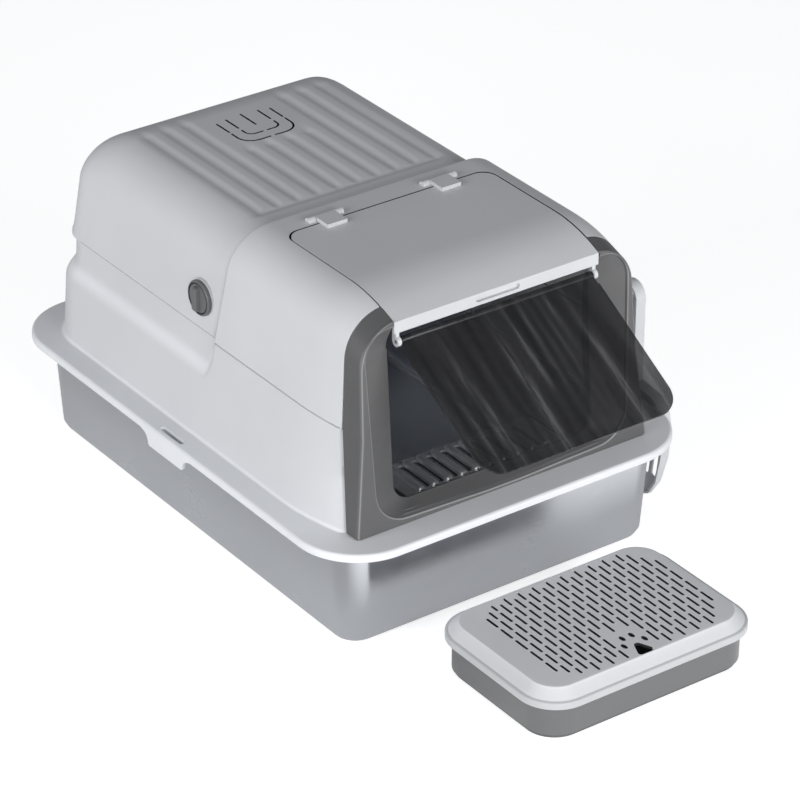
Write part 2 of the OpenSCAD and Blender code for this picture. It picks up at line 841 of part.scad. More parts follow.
knob_x = seam_w - step_in - (knob_z - seam_z) * top_draft;
knob_h = 8;
pad_h = 0.8;
shaft_fit = 0.08;
arm_gap = 2.5;
shaft_l = pad_h + run_gap + wall + arm_gap;
module knob() {
  // built along +Z, wall at z = 0, grip outward
  difference() {
    union() {
      cylinder(r = knob_r, h = 3);
      translate([0, 0, 3])
        cylinder(r1 = knob_r, r2 = knob_r - 1.5, h = 1.5);
      translate([0, 0, 3])
        intersection() {
          translate([-4.5, -knob_r + 1, 0])
            cube([9, 2 * knob_r - 2, knob_h - 1]);
          cylinder(r = knob_r - 1, h = knob_h);
        }
      translate([0, 0, -shaft_l])
        cylinder(r = shaft_r, h = shaft_l + 1);
    }
    translate([0, 0, -shaft_l - 1])
      cylinder(r = 1.3, h = 8.5);
  }
}
module knob_at(s) {
  color(dark)
    translate([s * (knob_x + pad_h + run_gap), knob_y, knob_z])
      rotate([0, s * 90, 0])
        rotate(90)
          knob();
}
module knob_left() { knob_at(-1); }
module knob_right() { knob_at(1); }

// Latch arms lie level when released and swing down behind the catches

arm_t = 2.5;
catch_t = 7.5;
catch_z = knob_z - latch_reach + 10;
arm_x = knob_x - wall - arm_gap - arm_t;
catch_x = arm_x + arm_t + run_gap;
module latch_arm(s) {
  color(dark)
    translate([s * (arm_x + arm_t / 2), knob_y, knob_z])
      rotate([0, s * 90, 0])
        difference() {
          union() {
            cylinder(r = 8, h = arm_t, center = true);
            translate([0, -latch_reach / 2, 0])
              cube([10, latch_reach, arm_t], center = true);
            translate([0, -latch_reach + 1.5, 2.5])
              cube([8, 3, 5 + arm_t], center = true);
          }
          cylinder(r = 1.6, h = 10, center = true);
        }
}
module latch_arm_left() { latch_arm(-1); }
module latch_arm_right() { latch_arm(1); }

module knob_screw(s) {
  color(steel)
    translate([s * arm_x, knob_y, knob_z])
      rotate([0, s * 90, 0]) {
        cylinder(r = 1.3, h = 9);
        translate([0, 0, -2])
          cylinder(r = 3, h = 2);
      }
}
module knob_screw_left() { knob_screw(-1); }
module knob_screw_right() { knob_screw(1); }

// Filter tray with its carbon pad, under the vent

tray_z = roof_low - roof_t - run_gap;
module filter_tray() {
  color(light)
    translate([0, vent_y, tray_z - tray_h])
      difference() {
        union() {
          linear_extrude(tray_h)
            round_rect(tray_w, tray_l, 6);
          translate([0, 0, tray_h - 2])
            linear_extrude(2)
              square([tray_w + 2 * tray_flange, tray_l - 12], center = true);
        }
        translate([0, 0, 2])
          linear_extrude(tray_h)
            round_rect(tray_w - 4, tray_l - 4, 4);
        for (i = [-4:4])
          translate([i * 9, 0, -1])
            linear_extrude(4)
              slot(4.5, tray_l - 16);
      }
}

module carbon_filter() {
  color([0.12, 0.12, 0.13])
    translate([0, vent_y, tray_z - tray_h + 2])
      linear_extrude(9)
        round_rect(tray_w - 5, tray_l - 5, 3.5);
}

// Scoop and its hanger on the right of the rim

hanger_w = 34;
hanger_y = -176;
hanger_t = 2.4;
pocket_t = 4;
back_gap = 1;
scoop_x = rim_hw + run_gap + 2 * hanger_t + pocket_t + back_gap;
scoop_top = 246;
blade_top = 128;
rim_depth = 13;
tab_l = 16;
hook_z = blade_top - 22;

module blade_outline(inset) {
  hw = blade_w / 2 - inset;
  low = scoop_top - scoop_l;
  polygon([
    [-hw * 0.3, blade_top - inset], [-hw * 0.8, blade_top - 8 - inset], [-hw, blade_top - 28 - inset],
    [-hw, 62], [-hw * 0.86, low + 26 + inset], [-hw * 0.68, low + 8 + inset], [-hw * 0.5, low + inset],
    [hw * 0.5, low + inset], [hw * 0.68, low + 8 + inset], [hw * 0.86, low + 26 + inset], [hw, 62],
    [hw, blade_top - 28 - inset], [hw * 0.8, blade_top - 8 - inset], [hw * 0.3, blade_top - inset]]);
}

module scoop() {
  color(light)
    translate([scoop_x, hanger_y, 0])
      rotate([90, 0, 90]) {
        difference() {
          union() {
            linear_extrude(2.2)
              blade_outline(0);
            linear_extrude(rim_depth)
              difference() {
                blade_outline(0);
                blade_outline(2.4);
                translate([-blade_w, scoop_top - scoop_l - 5])
                  square([2 * blade_w, 16]);
              }
            // handle, a channel open at the back
            translate([-grip_w / 2, blade_top - 10, 0])
              cube([grip_w, scoop_top - blade_top - grip_w / 2 + 10, 15]);
            translate([0, scoop_top - grip_w / 2, 0])
              cylinder(r = grip_w / 2, h = 15);
          }
          translate([-grip_w / 2 + 2.6, blade_top - 4, -1])
            cube([grip_w - 5.2, scoop_top - blade_top - grip_w / 2 + 4, 13.4]);
          translate([0, scoop_top - grip_w / 2, -1])
            cylinder(r = grip_w / 2 - 2.6, h = 13.4);
          translate([0, scoop_top - grip_w / 2, -2])
            cylinder(r = 4, h = 20);
          for (i = [-4:4])
            translate([i * blade_w / 11, 62 - abs(i) * 1.5, -1])
              linear_extrude(5)
                slot(7.5, 74 - abs(i) * 5);
        }
        // hook that drops into the hanger's pocket
        translate([-hanger_w / 2 + 4, hook_z, -back_gap - hanger_t - 3])
          cube([hanger_w - 8, 3, hanger_t + back_gap + 4]);
        translate([-hanger_w / 2 + 4, hook_z + 3 - tab_l, -back_gap - hanger_t - 3])
          cube([hanger_w - 8, tab_l, 2.2]);
      }
}

module scoop_hanger() {
  x0 = rim_hw + run_gap;
  zb = hook_z - tab_l;
  color(light)
    translate([0, hanger_y, 0])
      across_y(hanger_w) {
        // tongue in the ledge slot, bridge over the lip, and the pocket
        translate([rim_hw - 9 - 1.5, skirt_z])
          square([3, ledge_z + 0.2 - skirt_z]);
        translate([rim_hw - 9 - 1.5, ledge_z + 0.2])
          square([x0 + hanger_t - rim_hw + 10.5, hanger_t]);
        translate([x0, zb])
          square([hanger_t, ledge_z + 0.3 + hanger_t - zb]);
        translate([x0, zb])
          square([2 * hanger_t + pocket_t, hanger_t]);
        translate([x0 + hanger_t + pocket_t, zb])
          square([hanger_t, hook_z - zb]);
      }
}

// Extrudes an (x, z) outline across Y
module across_y(w) {
  rotate([90, 0, 0])
    linear_extrude(w, center = true)
      children();
}

// Step tray: base, sieve cover and foot ring

foot_h = 4;
base_in = 7;
panel_drop = 3;
cover_h = 17;
step_x = -4;
base_w = step_w - 2 * base_in;
base_d = step_d - 2 * base_in;
base_r = step_r - base_in;

module step_base() {
  top = step_h - panel_drop - wall - 1;
  color([0.56, 0.57, 0.58])
    translate([step_x, -step_y, foot_h])
      difference() {
        linear_extrude(top - foot_h)
          round_rect(base_w, base_d, base_r);
        translate([0, 0, wall])
          linear_extrude(top)
            round_rect(base_w - 2 * wall, base_d - 2 * wall, base_r - wall);
      }
}

module step_foot_ring() {
  color(light)
    translate([step_x, -step_y, 0])
      linear_extrude(foot_h)
        difference() {
          round_rect(base_w - 5, base_d - 5, base_r - 2.5);
          round_rect(base_w - 25, base_d - 25, base_r - 12.5);
        }
}

module step_cover() {
  z0 = step_h - cover_h;
  panel_in = 15;
  color(light)
    translate([step_x, -step_y, 0])
      difference() {
        union() {
          translate([0, 0, z0])
            linear_extrude(cover_h - 6)
              round_rect(step_w, step_d, step_r);
          // bevel up to the panel
          for (k = [0:3])
            translate([0, 0, step_h - 6 + k * 1.5])
              linear_extrude(1.5)
                round_rect(step_w - 4 - k * 7, step_d - 4 - k * 7, step_r - 2 - k * 3.5);
        }
        // inside
        translate([0, 0, z0 - 1])
          linear_extrude(cover_h - panel_drop - wall)
            round_rect(step_w - 2 * wall, step_d - 2 * wall, step_r - wall);
        translate([0, 0, z0 - 1])
          linear_extrude(cover_h - wall + 1)
            round_rect(step_w - 2 * panel_in - 8, step_d - 2 * panel_in - 8, step_r - panel_in);
        translate([0, 0, step_h - wall - 1])
          linear_extrude(wall + 2)
            sieve();
      }
}

// Staggered sieve slots inside an oval field, with a paw at the front edge
module sieve() {
  pitch = 8.5;
  row = 23;
  hw = step_w / 2 - 34;
  hd = step_d / 2 - 22;
  for (i = [-13:13])
    for (j = [-3:3]) {
      x = i * pitch;
      y = j * row + (i % 2 == 0 ? 0 : row / 2);
      if (abs(x) <= hw && abs(y) <= hd - max(0, abs(x) - hw + 30) * 0.8
          && !(abs(x) < 24 && y < -hd + 22))
        translate([x, y])
          slot(sieve_slot, 19);
    }
  translate([0, -hd + 3])
    paw();
}

module paw() {
  scale([1.25, 1])
    circle(7, $fn = 32);
  for (a = [-48, -16, 16, 48])
    rotate(a)
      translate([0, 13.5])
        scale([0.8, 1.2])
          circle(3, $fn = 24);
}

pan();
base_frame();
upper_hood();
front_bezel();
bezel_screws();
flip_lid();
lid_hinge_pin_left();
lid_hinge_pin_right();
swing_flap();
knob_left();
knob_right();
latch_arm_left();
latch_arm_right();
knob_screw_left();
knob_screw_right();
filter_tray();
carbon_filter();
entrance_grate();
scoop();
scoop_hanger();
step_base();
step_cover();
step_foot_ring();
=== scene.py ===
"""Looks for the hooded litter box: materials for every node, floor, studio light and camera."""
from math import cos, exp, hypot, pi, radians, sin, sqrt

import bmesh
import bpy
from mathutils import Matrix, Vector


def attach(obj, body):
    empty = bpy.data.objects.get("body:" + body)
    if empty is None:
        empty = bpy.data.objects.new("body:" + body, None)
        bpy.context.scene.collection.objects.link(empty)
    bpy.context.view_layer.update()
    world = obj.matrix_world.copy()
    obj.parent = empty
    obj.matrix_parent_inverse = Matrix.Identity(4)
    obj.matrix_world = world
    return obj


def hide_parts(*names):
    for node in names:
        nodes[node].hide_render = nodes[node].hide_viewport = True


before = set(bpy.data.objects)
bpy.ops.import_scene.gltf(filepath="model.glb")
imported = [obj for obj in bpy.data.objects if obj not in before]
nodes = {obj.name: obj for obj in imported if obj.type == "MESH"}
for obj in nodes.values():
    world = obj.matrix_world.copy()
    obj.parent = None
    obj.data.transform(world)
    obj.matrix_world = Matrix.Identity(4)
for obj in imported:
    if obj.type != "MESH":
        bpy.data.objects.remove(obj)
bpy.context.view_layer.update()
scene = bpy.context.scene


# Node helpers

def new_material(name):
    m = bpy.data.materials.new(name)
    m.use_nodes = True
    t = m.node_tree
    t.nodes.clear()
    out = t.nodes.new("ShaderNodeOutputMaterial")
    shader = t.nodes.new("ShaderNodeBsdfPrincipled")
    t.links.new(shader.outputs[0], out.inputs[0])
    coords = t.nodes.new("ShaderNodeTexCoord")
    return m, t, shader, coords.outputs["Object"]


def stretched(t, coords, scale):
    mapping = t.nodes.new("ShaderNodeMapping")
    mapping.inputs["Scale"].default_value = scale
    t.links.new(coords, mapping.inputs["Vector"])
    return mapping.outputs[0]


def noise(t, coords, scale, detail=3.0, rough=0.5):
    n = t.nodes.new("ShaderNodeTexNoise")
    n.inputs["Scale"].default_value = scale
    n.inputs["Detail"].default_value = detail
    n.inputs["Roughness"].default_value = rough
    t.links.new(coords, n.inputs["Vector"])
    return n.outputs["Fac"]


def ramp(t, value, stops):
    r = t.nodes.new("ShaderNodeValToRGB")
    while len(r.color_ramp.elements) < len(stops):
        r.color_ramp.elements.new(0.5)
    for e, (pos, c) in zip(r.color_ramp.elements, stops):
        e.position = pos
        e.color = (*c, 1) if len(c) == 3 else c
    t.links.new(value, r.inputs[0])
    return r.outputs[0]


def spread(t, value, low, high, a=0.3, b=0.7):
    r = t.nodes.new("ShaderNodeMapRange")
    r.inputs["From Min"].default_value = a
    r.inputs["From Max"].default_value = b
    r.inputs["To Min"].default_value = low
    r.inputs["To Max"].default_value = high
    t.links.new(value, r.inputs["Value"])
    return r.outputs[0]


def bump(t, shader, height, strength, distance):
    b = t.nodes.new("ShaderNodeBump")
    b.inputs["Strength"].default_value = strength
    b.inputs["Distance"].default_value = distance
    t.links.new(height, b.inputs["Height"])
    t.links.new(b.outputs[0], shader.inputs["Normal"])


def add(t, a, b, k):
    m = t.nodes.new("ShaderNodeMath")
    m.operation = "MULTIPLY_ADD"
    m.inputs[1].default_value = k
    t.links.new(b, m.inputs[0])
    t.links.new(a, m.inputs[2])
    return m.outputs[0]


def plastic(name, colour, rough=0.42, vary=0.03, grain=0.25):
    """Satin moulded plastic: fine spark-eroded grain, faint flow marks and handling scuffs.

    The point attribute "tone", where a mesh has it, makes the colour (1 + tone) times as bright; the
    pieces use it for painted shade and painted highlights.
    """
    m, t, shader, co = new_material(name)
    cloud = noise(t, co, 9, 2)
    c0 = tuple(v * (1 - vary) for v in colour)
    c1 = tuple(min(1, v * (1 + vary)) for v in colour)
    tone = t.nodes.new("ShaderNodeAttribute")
    tone.attribute_name = "tone"
    lift = t.nodes.new("ShaderNodeMath")
    lift.inputs[1].default_value = 1
    t.links.new(tone.outputs["Fac"], lift.inputs[0])
    shaded = t.nodes.new("ShaderNodeVectorMath")
    shaded.operation = "SCALE"
    t.links.new(ramp(t, cloud, [(0.3, c0), (0.7, c1)]), shaded.inputs[0])
    t.links.new(lift.outputs[0], shaded.inputs["Scale"])
    t.links.new(shaded.outputs[0], shader.inputs["Base Color"])
    scuff = noise(t, stretched(t, co, (1, 0.35, 2.2)), 40, 6, 0.65)
    t.links.new(spread(t, scuff, rough - 0.06, rough + 0.09), shader.inputs["Roughness"])
    fine = noise(t, co, 1500, 2, 0.6)
    bump(t, shader, add(t, fine, scuff, 0.5), grain, 0.00012)
    shader.inputs["IOR"].default_value = 1.46
    return m


def metal(name, colour, rough=0.2, brush=(1, 1, 1), depth=0.00004):
    """Brushed and polished sheet: long fine streaks over faint hand marks."""
    m, t, shader, co = new_material(name)
    shader.inputs["Metallic"].default_value = 1
    streak = noise(t, stretched(t, co, brush), 420, 3, 0.6)
    hand = noise(t, co, 14, 4)
    tone = [(0.3, tuple(v * 0.96 for v in colour)), (0.7, colour)]
    t.links.new(ramp(t, hand, tone), shader.inputs["Base Color"])
    t.links.new(spread(t, add(t, hand, streak, 0.4), rough - 0.04, rough + 0.07, 0.4, 1.0),
                shader.inputs["Roughness"])
    bump(t, shader, streak, 0.2, depth)
    return m


def smoked(name):
    """Clear smoked sheet with faint vertical drag marks in its gloss, and paler streaks along them in
    its colour, a painted reflection of light.
    """
    m, t, shader, co = new_material(name)
    drag = noise(t, stretched(t, co, (1, 0.06, 0.06)), 90, 5, 0.6)
    # The palest stop paints reflection streaks into the sheet's colour.
    smoke_and_painted_streaks = [(0.35, (0.012, 0.012, 0.013)), (0.58, (0.03, 0.03, 0.032)), (0.72, (0.14, 0.14, 0.145))]
    t.links.new(ramp(t, drag, smoke_and_painted_streaks), shader.inputs["Base Color"])
    t.links.new(spread(t, drag, 0.04, 0.12), shader.inputs["Roughness"])
    t.links.new(spread(t, drag, 0.80, 0.62), shader.inputs["Alpha"])
    shader.inputs["IOR"].default_value = 1.49
    bump(t, shader, drag, 0.15, 0.0004)
    return m


def felt(name):
    m, t, shader, co = new_material(name)
    fibre = noise(t, co, 700, 5, 0.7)
    t.links.new(ramp(t, fibre, [(0.3, (0.004, 0.004, 0.005)), (0.7, (0.03, 0.03, 0.033))]),
                shader.inputs["Base Color"])
    shader.inputs["Roughness"].default_value = 0.95
    bump(t, shader, fibre, 0.8, 0.0008)
    return m


LIGHT = plastic("light_plastic", (0.62, 0.63, 0.65), 0.46, 0.02, 0.12)
LID = plastic("lid_plastic", (0.62, 0.63, 0.645), 0.46, 0.02, 0.12)
COVER = plastic("cover_plastic", (0.66, 0.67, 0.69), 0.42, 0.02, 0.12)
DARK = plastic("dark_plastic", (0.10, 0.10, 0.102), 0.40, 0.04, 0.12)
KNOB = plastic("knob_plastic", (0.14, 0.142, 0.147), 0.38, 0.03, 0.12)
GREY = plastic("grey_plastic", (0.14, 0.142, 0.145), 0.42, 0.03, 0.12)
# Near-black material for faces inside gaps, slots and grooves: painted shade where light doesn't reach.
SHADE = plastic("painted_gap_shade", (0.025, 0.025, 0.027), 0.6, 0.1, 0.12)
STEEL = metal("pan_steel", (0.72, 0.74, 0.78), 0.22, (0.05, 0.05, 1), 0.000006)
BARS = metal("grate_steel", (0.92, 0.92, 0.94), 0.42, (1, 0.05, 1))
SCREW = metal("screw_steel", (0.55, 0.56, 0.58), 0.3)
SMOKED = smoked("smoked_sheet")
FELT = felt("carbon_felt")

LOOKS = {
    "pan": STEEL, "base_frame": LIGHT, "upper_hood": LIGHT, "front_bezel": DARK,
    "bezel_screws": SCREW, "flip_lid": LID, "lid_hinge_pin_left": SCREW,
    "lid_hinge_pin_right": SCREW, "swing_flap": SMOKED, "knob_left": KNOB,
    "knob_right": KNOB, "latch_arm_left": DARK, "latch_arm_right": DARK,
    "knob_screw_left": SCREW, "knob_screw_right": SCREW, "filter_tray": LIGHT,
    "carbon_filter": FELT, "entrance_grate": BARS, "scoop": LIGHT,
    "scoop_hanger": LIGHT, "step_base": GREY, "step_cover": COVER,
    "step_foot_ring": DARK,
}
for name, node in nodes.items():
    node.data.materials.clear()
    node.data.materials.append(LOOKS[name])


# Smooth shading for the moulded and drawn shells, sharp only where an edge really is

def soft_edges(limit):
    g = bpy.data.node_groups.new("soft_edges", "GeometryNodeTree")
    g.interface.new_socket("Geometry", in_out="INPUT", socket_type="NodeSocketGeometry")
    g.interface.new_socket("Geometry", in_out="OUTPUT", socket_type="NodeSocketGeometry")
    start = g.nodes.new("NodeGroupInput")
    end = g.nodes.new("NodeGroupOutput")
    old = g.nodes.new("GeometryNodeRemoveAttribute")
    old.inputs["Name"].default_value = "custom_normal"
    weld = g.nodes.new("GeometryNodeMergeByDistance")
    weld.inputs["Distance"].default_value = 0.00002
    faces = g.nodes.new("GeometryNodeSetShadeSmooth")
    edges = g.nodes.new("GeometryNodeSetShadeSmooth")
    edges.domain = "EDGE"
    angle = g.nodes.new("GeometryNodeInputMeshEdgeAngle")
    small = g.nodes.new("ShaderNodeMath")
    small.operation = "LESS_THAN"
    small.inputs[1].default_value = radians(limit)
    g.links.new(angle.outputs["Unsigned Angle"], small.inputs[0])
    g.links.new(small.outputs[0], edges.inputs["Shade Smooth"])
    chain = [start, old, weld, faces, edges, end]
    for a, b in zip(chain, chain[1:]):
        g.links.new(a.outputs[0], b.inputs[0])
    return g


SOFT = soft_edges(38)


def soften_mesh(ob):
    ob.modifiers.new("soft", "NODES").node_group = SOFT
    weights = ob.modifiers.new("weights", "WEIGHTED_NORMAL")
    weights.keep_sharp = True
    weights.weight = 80


for name in ("pan", "flip_lid"):
    soften_mesh(nodes[name])


# Moulded shells with their full forms, in millimetres

MM = 0.001

# Heights: lower edge of the rim, its flange, the ledge behind it, the parting seam and the roof
SKIRT_Z = 110.5
FLANGE_Z = 116
LEDGE_Z = 119
SEAM_Z = 220
ROOF_Z = 345.5
# How far the rear of the box stands back from its front, at the sides and in the roof
STEP_IN = 7
ROOF_LOW = ROOF_Z - STEP_IN
STEP_Y = -14
STEP_RUN = 8
# Half widths and lengths, from the middle of the pan
FOOT_W = 190
SEAM_W = 170
RIM_HW = 217.5
RIM_HL = 300
RIM_R = 68
FOOT_FRONT = 250
FOOT_BACK = 276
BACK_Y = 272
BEZEL_Y = 229
FACE_Y = 268
FACE_LEAN = 0.081
WALL = 3
GAP = 0.5
# Curves and leans of the body
RECESS_Z = SEAM_Z - 31.5
RECESS_H = 21
RECESS_R = 24
BOW_Y = 165
BOW_FOOT = 15
BOW_SEAM = 5.4
SHOULDER_R = 45
CROWN_R = 58
PLAN_R = 30
TOP_DRAFT = 0.085
FRONT_DRAFT = 0.03
SIDE_LEAN = (FOOT_W - SEAM_W) / (SEAM_Z - LEDGE_Z)
SEAM_V = 1.1
# Doorway, lid and its hinge
DOOR_HW = 119
DOOR_R = 20
SILL_Z = 134
LID_W = 241
LID_BACK = 71
LID_R = 16
LID_GAP = 1.7
AXIS_Y = -62
AXIS_Z = 345.9
HINGE_X = 68
LEAF_W = 23
KNUCKLE_R = 3.9
EAR_W = 8.5
# Roof grooves and vent
GROOVE_N = 10
GROOVE_PITCH = 23.5
GROOVE_W = 17
GROOVE_D = 2.3
VENT_Y = 168
VENT_W = 32.5
VENT_SLOT = 2.2
# Turn knobs and the pads they turn on
KNOB_R = 18.5
KNOB_Y = 14
KNOB_Z = 253
KNOB_T = 4.2
RIDGE_H = 5.5
PAD_H = 1.6
# Step tray
STEP_X = -4
STEP_C = -419
STEP_H = 54
STEP_HW = 131
STEP_HD = 92
STEP_R = 40
# Scoop and its hanger
SCOOP_X = 218.5
HANGER_Y = -176
SCOOP_TOP = 236
BLADE_TOP = 128
BLADE_LOW = 6
BLADE_W = 129
GRIP_W = 32
SCOOP_D = 12
SCOOP_T = 2.2


def raw(name, verts, faces):
    """A closed mesh object from points in millimetres, its faces turned outward."""
    mesh = bpy.data.meshes.new(name)
    mesh.from_pydata([tuple(c * MM for c in v) for v in verts], [], faces)
    b = bmesh.new()
    b.from_mesh(mesh)
    bmesh.ops.recalc_face_normals(b, faces=b.faces)
    b.to_mesh(mesh)
    b.free()
    ob = bpy.data.objects.new(name, mesh)
    scene.collection.objects.link(ob)
    return ob


def arc(cx, cy, r, a0, a1, n=6):
    """Points of an arc from angle a0 to a1, in degrees."""
    angles = [radians(a0 + (a1 - a0) * i / n) for i in range(n + 1)]
    return [(cx + r * cos(a), cy + r * sin(a)) for a in angles]


def plan(w, l, r, n=10):
    """Outline of a rounded rectangle of half sizes w and l."""
    return (arc(w - r, l - r, r, 0, 90, n) + arc(r - w, l - r, r, 90, 180, n)
            + arc(r - w, r - l, r, 180, 270, n) + arc(w - r, r - l, r, 270, 360, n))


AXES = {
    "x": lambda u, v, w: (w, u, v),
    "y": lambda u, v, w: (u, w, v),
    "z": lambda u, v, w: (u, v, w),
}


def prism_data(line, lo, hi, axis="z"):
    """An outline carried along an axis from lo to hi."""
    n = len(line)
    put = AXES[axis]
    verts = [put(u, v, w) for w in (lo, hi) for u, v in line]
    faces = [tuple(range(n)), tuple(range(n, 2 * n))]
    return verts, faces + [(i, (i + 1) % n, n + (i + 1) % n, n + i) for i in range(n)]


def merged(name, parts):
    """One mesh object from several closed lots of (points, faces)."""
    verts, faces = [], []
    for v, f in parts:
        faces += [tuple(len(verts) + i for i in face) for face in f]
        verts += v
    return raw(name, verts, faces)


def box_data(lo, hi):
    line = [(lo[0], lo[1]), (hi[0], lo[1]), (hi[0], hi[1]), (lo[0], hi[1])]
    return prism_data(line, lo[2], hi[2])


def round_data(cx, cy, r, lo, hi, axis="z", n=48):
    return prism_data(arc(cx, cy, r, 0, 360 - 360 / n, n - 1), lo, hi, axis)


def slot_line(cx, cy, w, l):
    """Outline of a slot of width w and length l along the second axis."""
    h = l / 2 - w / 2
    return arc(cx, cy + h, w / 2, 0, 180, 8) + arc(cx, cy - h, w / 2, 180, 360, 8)


def hoop_data(rings):
    """Joins rings of points in turn, the last one to the first."""
    n, m = len(rings[0]), len(rings)
    faces = [(k * n + i, k * n + (i + 1) % n, (k + 1) % m * n + (i + 1) % n, (k + 1) % m * n + i)
             for k in range(m) for i in range(n)]
    return [p for r in rings for p in r], faces


def sweep_data(section, w, l, r, n=16):
    """Carries a section round a rounded rectangle of half sizes w and l, u outward from the axis."""
    rings = []
    for cx, cy, start in ((1, 1, 0), (-1, 1, 90), (-1, -1, 180), (1, -1, 270)):
        for i in range(n + 1):
            turn = radians(start + 90 * i / n)
            rings.append([(cx * (w - r) + u * cos(turn), cy * (l - r) + u * sin(turn), z)
                          for u, z in section])
    return hoop_data(rings)


def skin_data(rings):
    """Joins rings of points in turn and closes both ends."""
    n, m = len(rings[0]), len(rings)
    verts, faces = hoop_data(rings)
    return verts, faces[:n * (m - 1)] + [tuple(range(n)), tuple((m - 1) * n + i for i in range(n))]


def carve(ob, *steps):
    """Adds or cuts tools, given as ("UNION" or "DIFFERENCE", tool), and bakes the result."""
    for how, tool in steps:
        m = ob.modifiers.new("carve", "BOOLEAN")
        m.operation, m.solver, m.object = how, "EXACT", tool
    done = bpy.data.meshes.new_from_object(ob.evaluated_get(bpy.context.evaluated_depsgraph_get()))
    ob.modifiers.clear()
    ob.data = done
    for how, tool in steps:
        bpy.data.objects.remove(tool)
    return ob


def dress(ob, look, body, kind, *stands_for, soften=True, deep=None, tone=None):
    """Finishes a piece: deep(centre, normal) picks faces inside gaps, which get the near-black painted
    shade, and tone(x, y, z) sets painted shade and painted highlights at points.
    """
    ob.data.materials.clear()
    ob.data.materials.append(look)
    if deep:
        ob.data.materials.append(SHADE)
        for f in ob.data.polygons:
            f.material_index = int(deep(f.center / MM, f.normal))
    if tone:
        shade = ob.data.attributes.new("tone", "FLOAT", "POINT")
        shade.data.foreach_set("value", [tone(*(v.co / MM)) for v in ob.data.vertices])
    if soften:
        soften_mesh(ob)
    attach(ob, body)
    if stands_for:
        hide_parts(*stands_for)


def smooth(t):
    t = min(1, max(0, t))
    return t * t * (3 - 2 * t)


def droop(y):
    """How far the roof has curved down at place y, towards the front."""
    return 0 if y > -180 else (-y - 180) ** 2 / 316


def rounded(r, d):
    """Drop of a quarter round of radius r, at distance d from its tangent edge."""
    return 0 if d >= r else r - sqrt(r * r - (r - d) ** 2)


def side_w(z):
    """Half width of the lower wall at height z."""
    return FOOT_W - (z - LEDGE_Z) * SIDE_LEAN


def recessed(y, z):
    """Share of the inset at place (y, z) of the side, with a rounded front corner."""
    a = (y - STEP_Y) * RECESS_H / STEP_RUN + RECESS_H / 2
    b = z - RECESS_Z
    d = RECESS_R - sqrt(max(0, RECESS_R - a) ** 2 + max(0, RECESS_R - b) ** 2)
    return smooth(d / RECESS_H + 0.5)


def front_line(z):
    """Distance to the bezel's rear edge below the seam, which leans forward downward."""
    return FOOT_FRONT + (BEZEL_Y - FOOT_FRONT) * (z - LEDGE_Z) / (SEAM_Z - LEDGE_Z)


def bow(y, z):
    """How far the sides draw in near the bezel."""
    k = (z - LEDGE_Z) / (SEAM_Z - LEDGE_Z)
    share = max(0, -y - BOW_Y) / (front_line(z) - BOW_Y)
    return (BOW_FOOT + (BOW_SEAM - BOW_FOOT) * k) * share ** 2


# Hood

def groove(x, y):
    """Depth of the soft roof grooves and of the trough along the step."""
    front = STEP_Y + 7
    trough = 2.6 * (1 + cos(pi * min(1, abs(y - front) / 9.5))) / 2 * smooth((116 - abs(x)) / 9)
    half = (GROOVE_N - 1) / 2
    i = min(GROOVE_N - 1, max(0, round(x / GROOVE_PITCH + half)))
    at = (i - half) * GROOVE_PITCH
    end = VENT_Y - 50 if abs(at) < VENT_W + 14 else BACK_Y - CROWN_R - 12
    u = min(1, abs(x - at) / (GROOVE_W / 2))
    lane = GROOVE_D * (1 + cos(pi * u)) / 2 * smooth((end + 6 - y) / 12) * smooth((y - front + 4) / 6)
    return max(lane, trough)


def hood_rows():
    """(d, y at the seam, y at the roof, half width, roof height, shoulder, bead, draft) rows."""
    rows = []
    deep = [0, 0.5, 1.5, 3, 5, 7.5, 10.5, 14, 18, 22.5, 28, 34, 40, 49, 58, 62, 65, 68, 71, 74, 78]
    deep += list(range(90, 136, 15)) + list(range(142, 170, 3)) + list(range(180, 256, 15))
    deep += list(range(258, 286, 3)) + [286]
    for d in deep:
        q = rounded(CROWN_R, d)
        lean = 13.5 + 6.5 * max(0, d - CROWN_R) / (BACK_Y - STEP_Y - CROWN_R)
        y = BACK_Y - d
        rows.append((d, y, y - lean, SEAM_W - STEP_IN - rounded(PLAN_R, d), ROOF_LOW - q,
                     max(18, SHOULDER_R + 4 - q * 0.55), 2, TOP_DRAFT))
    for d in range(1, STEP_RUN + 1):
        k = recessed(STEP_Y - d, SEAM_Z)
        rows.append((CROWN_R, STEP_Y - d, STEP_Y - 20 - d, SEAM_W - STEP_IN * k,
                     ROOF_Z - STEP_IN * k, SHOULDER_R + 4 * k, 0.6 + 1.4 * k, TOP_DRAFT))
    front = STEP_Y - STEP_RUN
    ys = [-45, -75, -105, -135, -165] + list(range(-172, -228, -8)) + [GAP - BEZEL_Y]
    for y in ys:
        c = bow(y, SEAM_Z)
        lean = 20 * max(0, BOW_Y + y) / (BOW_Y + front)
        rows.append((CROWN_R, y, y - lean, SEAM_W - c, ROOF_Z - droop(y), SHOULDER_R, 0.6,
                     TOP_DRAFT + (FRONT_DRAFT - TOP_DRAFT) * c / BOW_SEAM))
    return rows


COLUMNS = 104


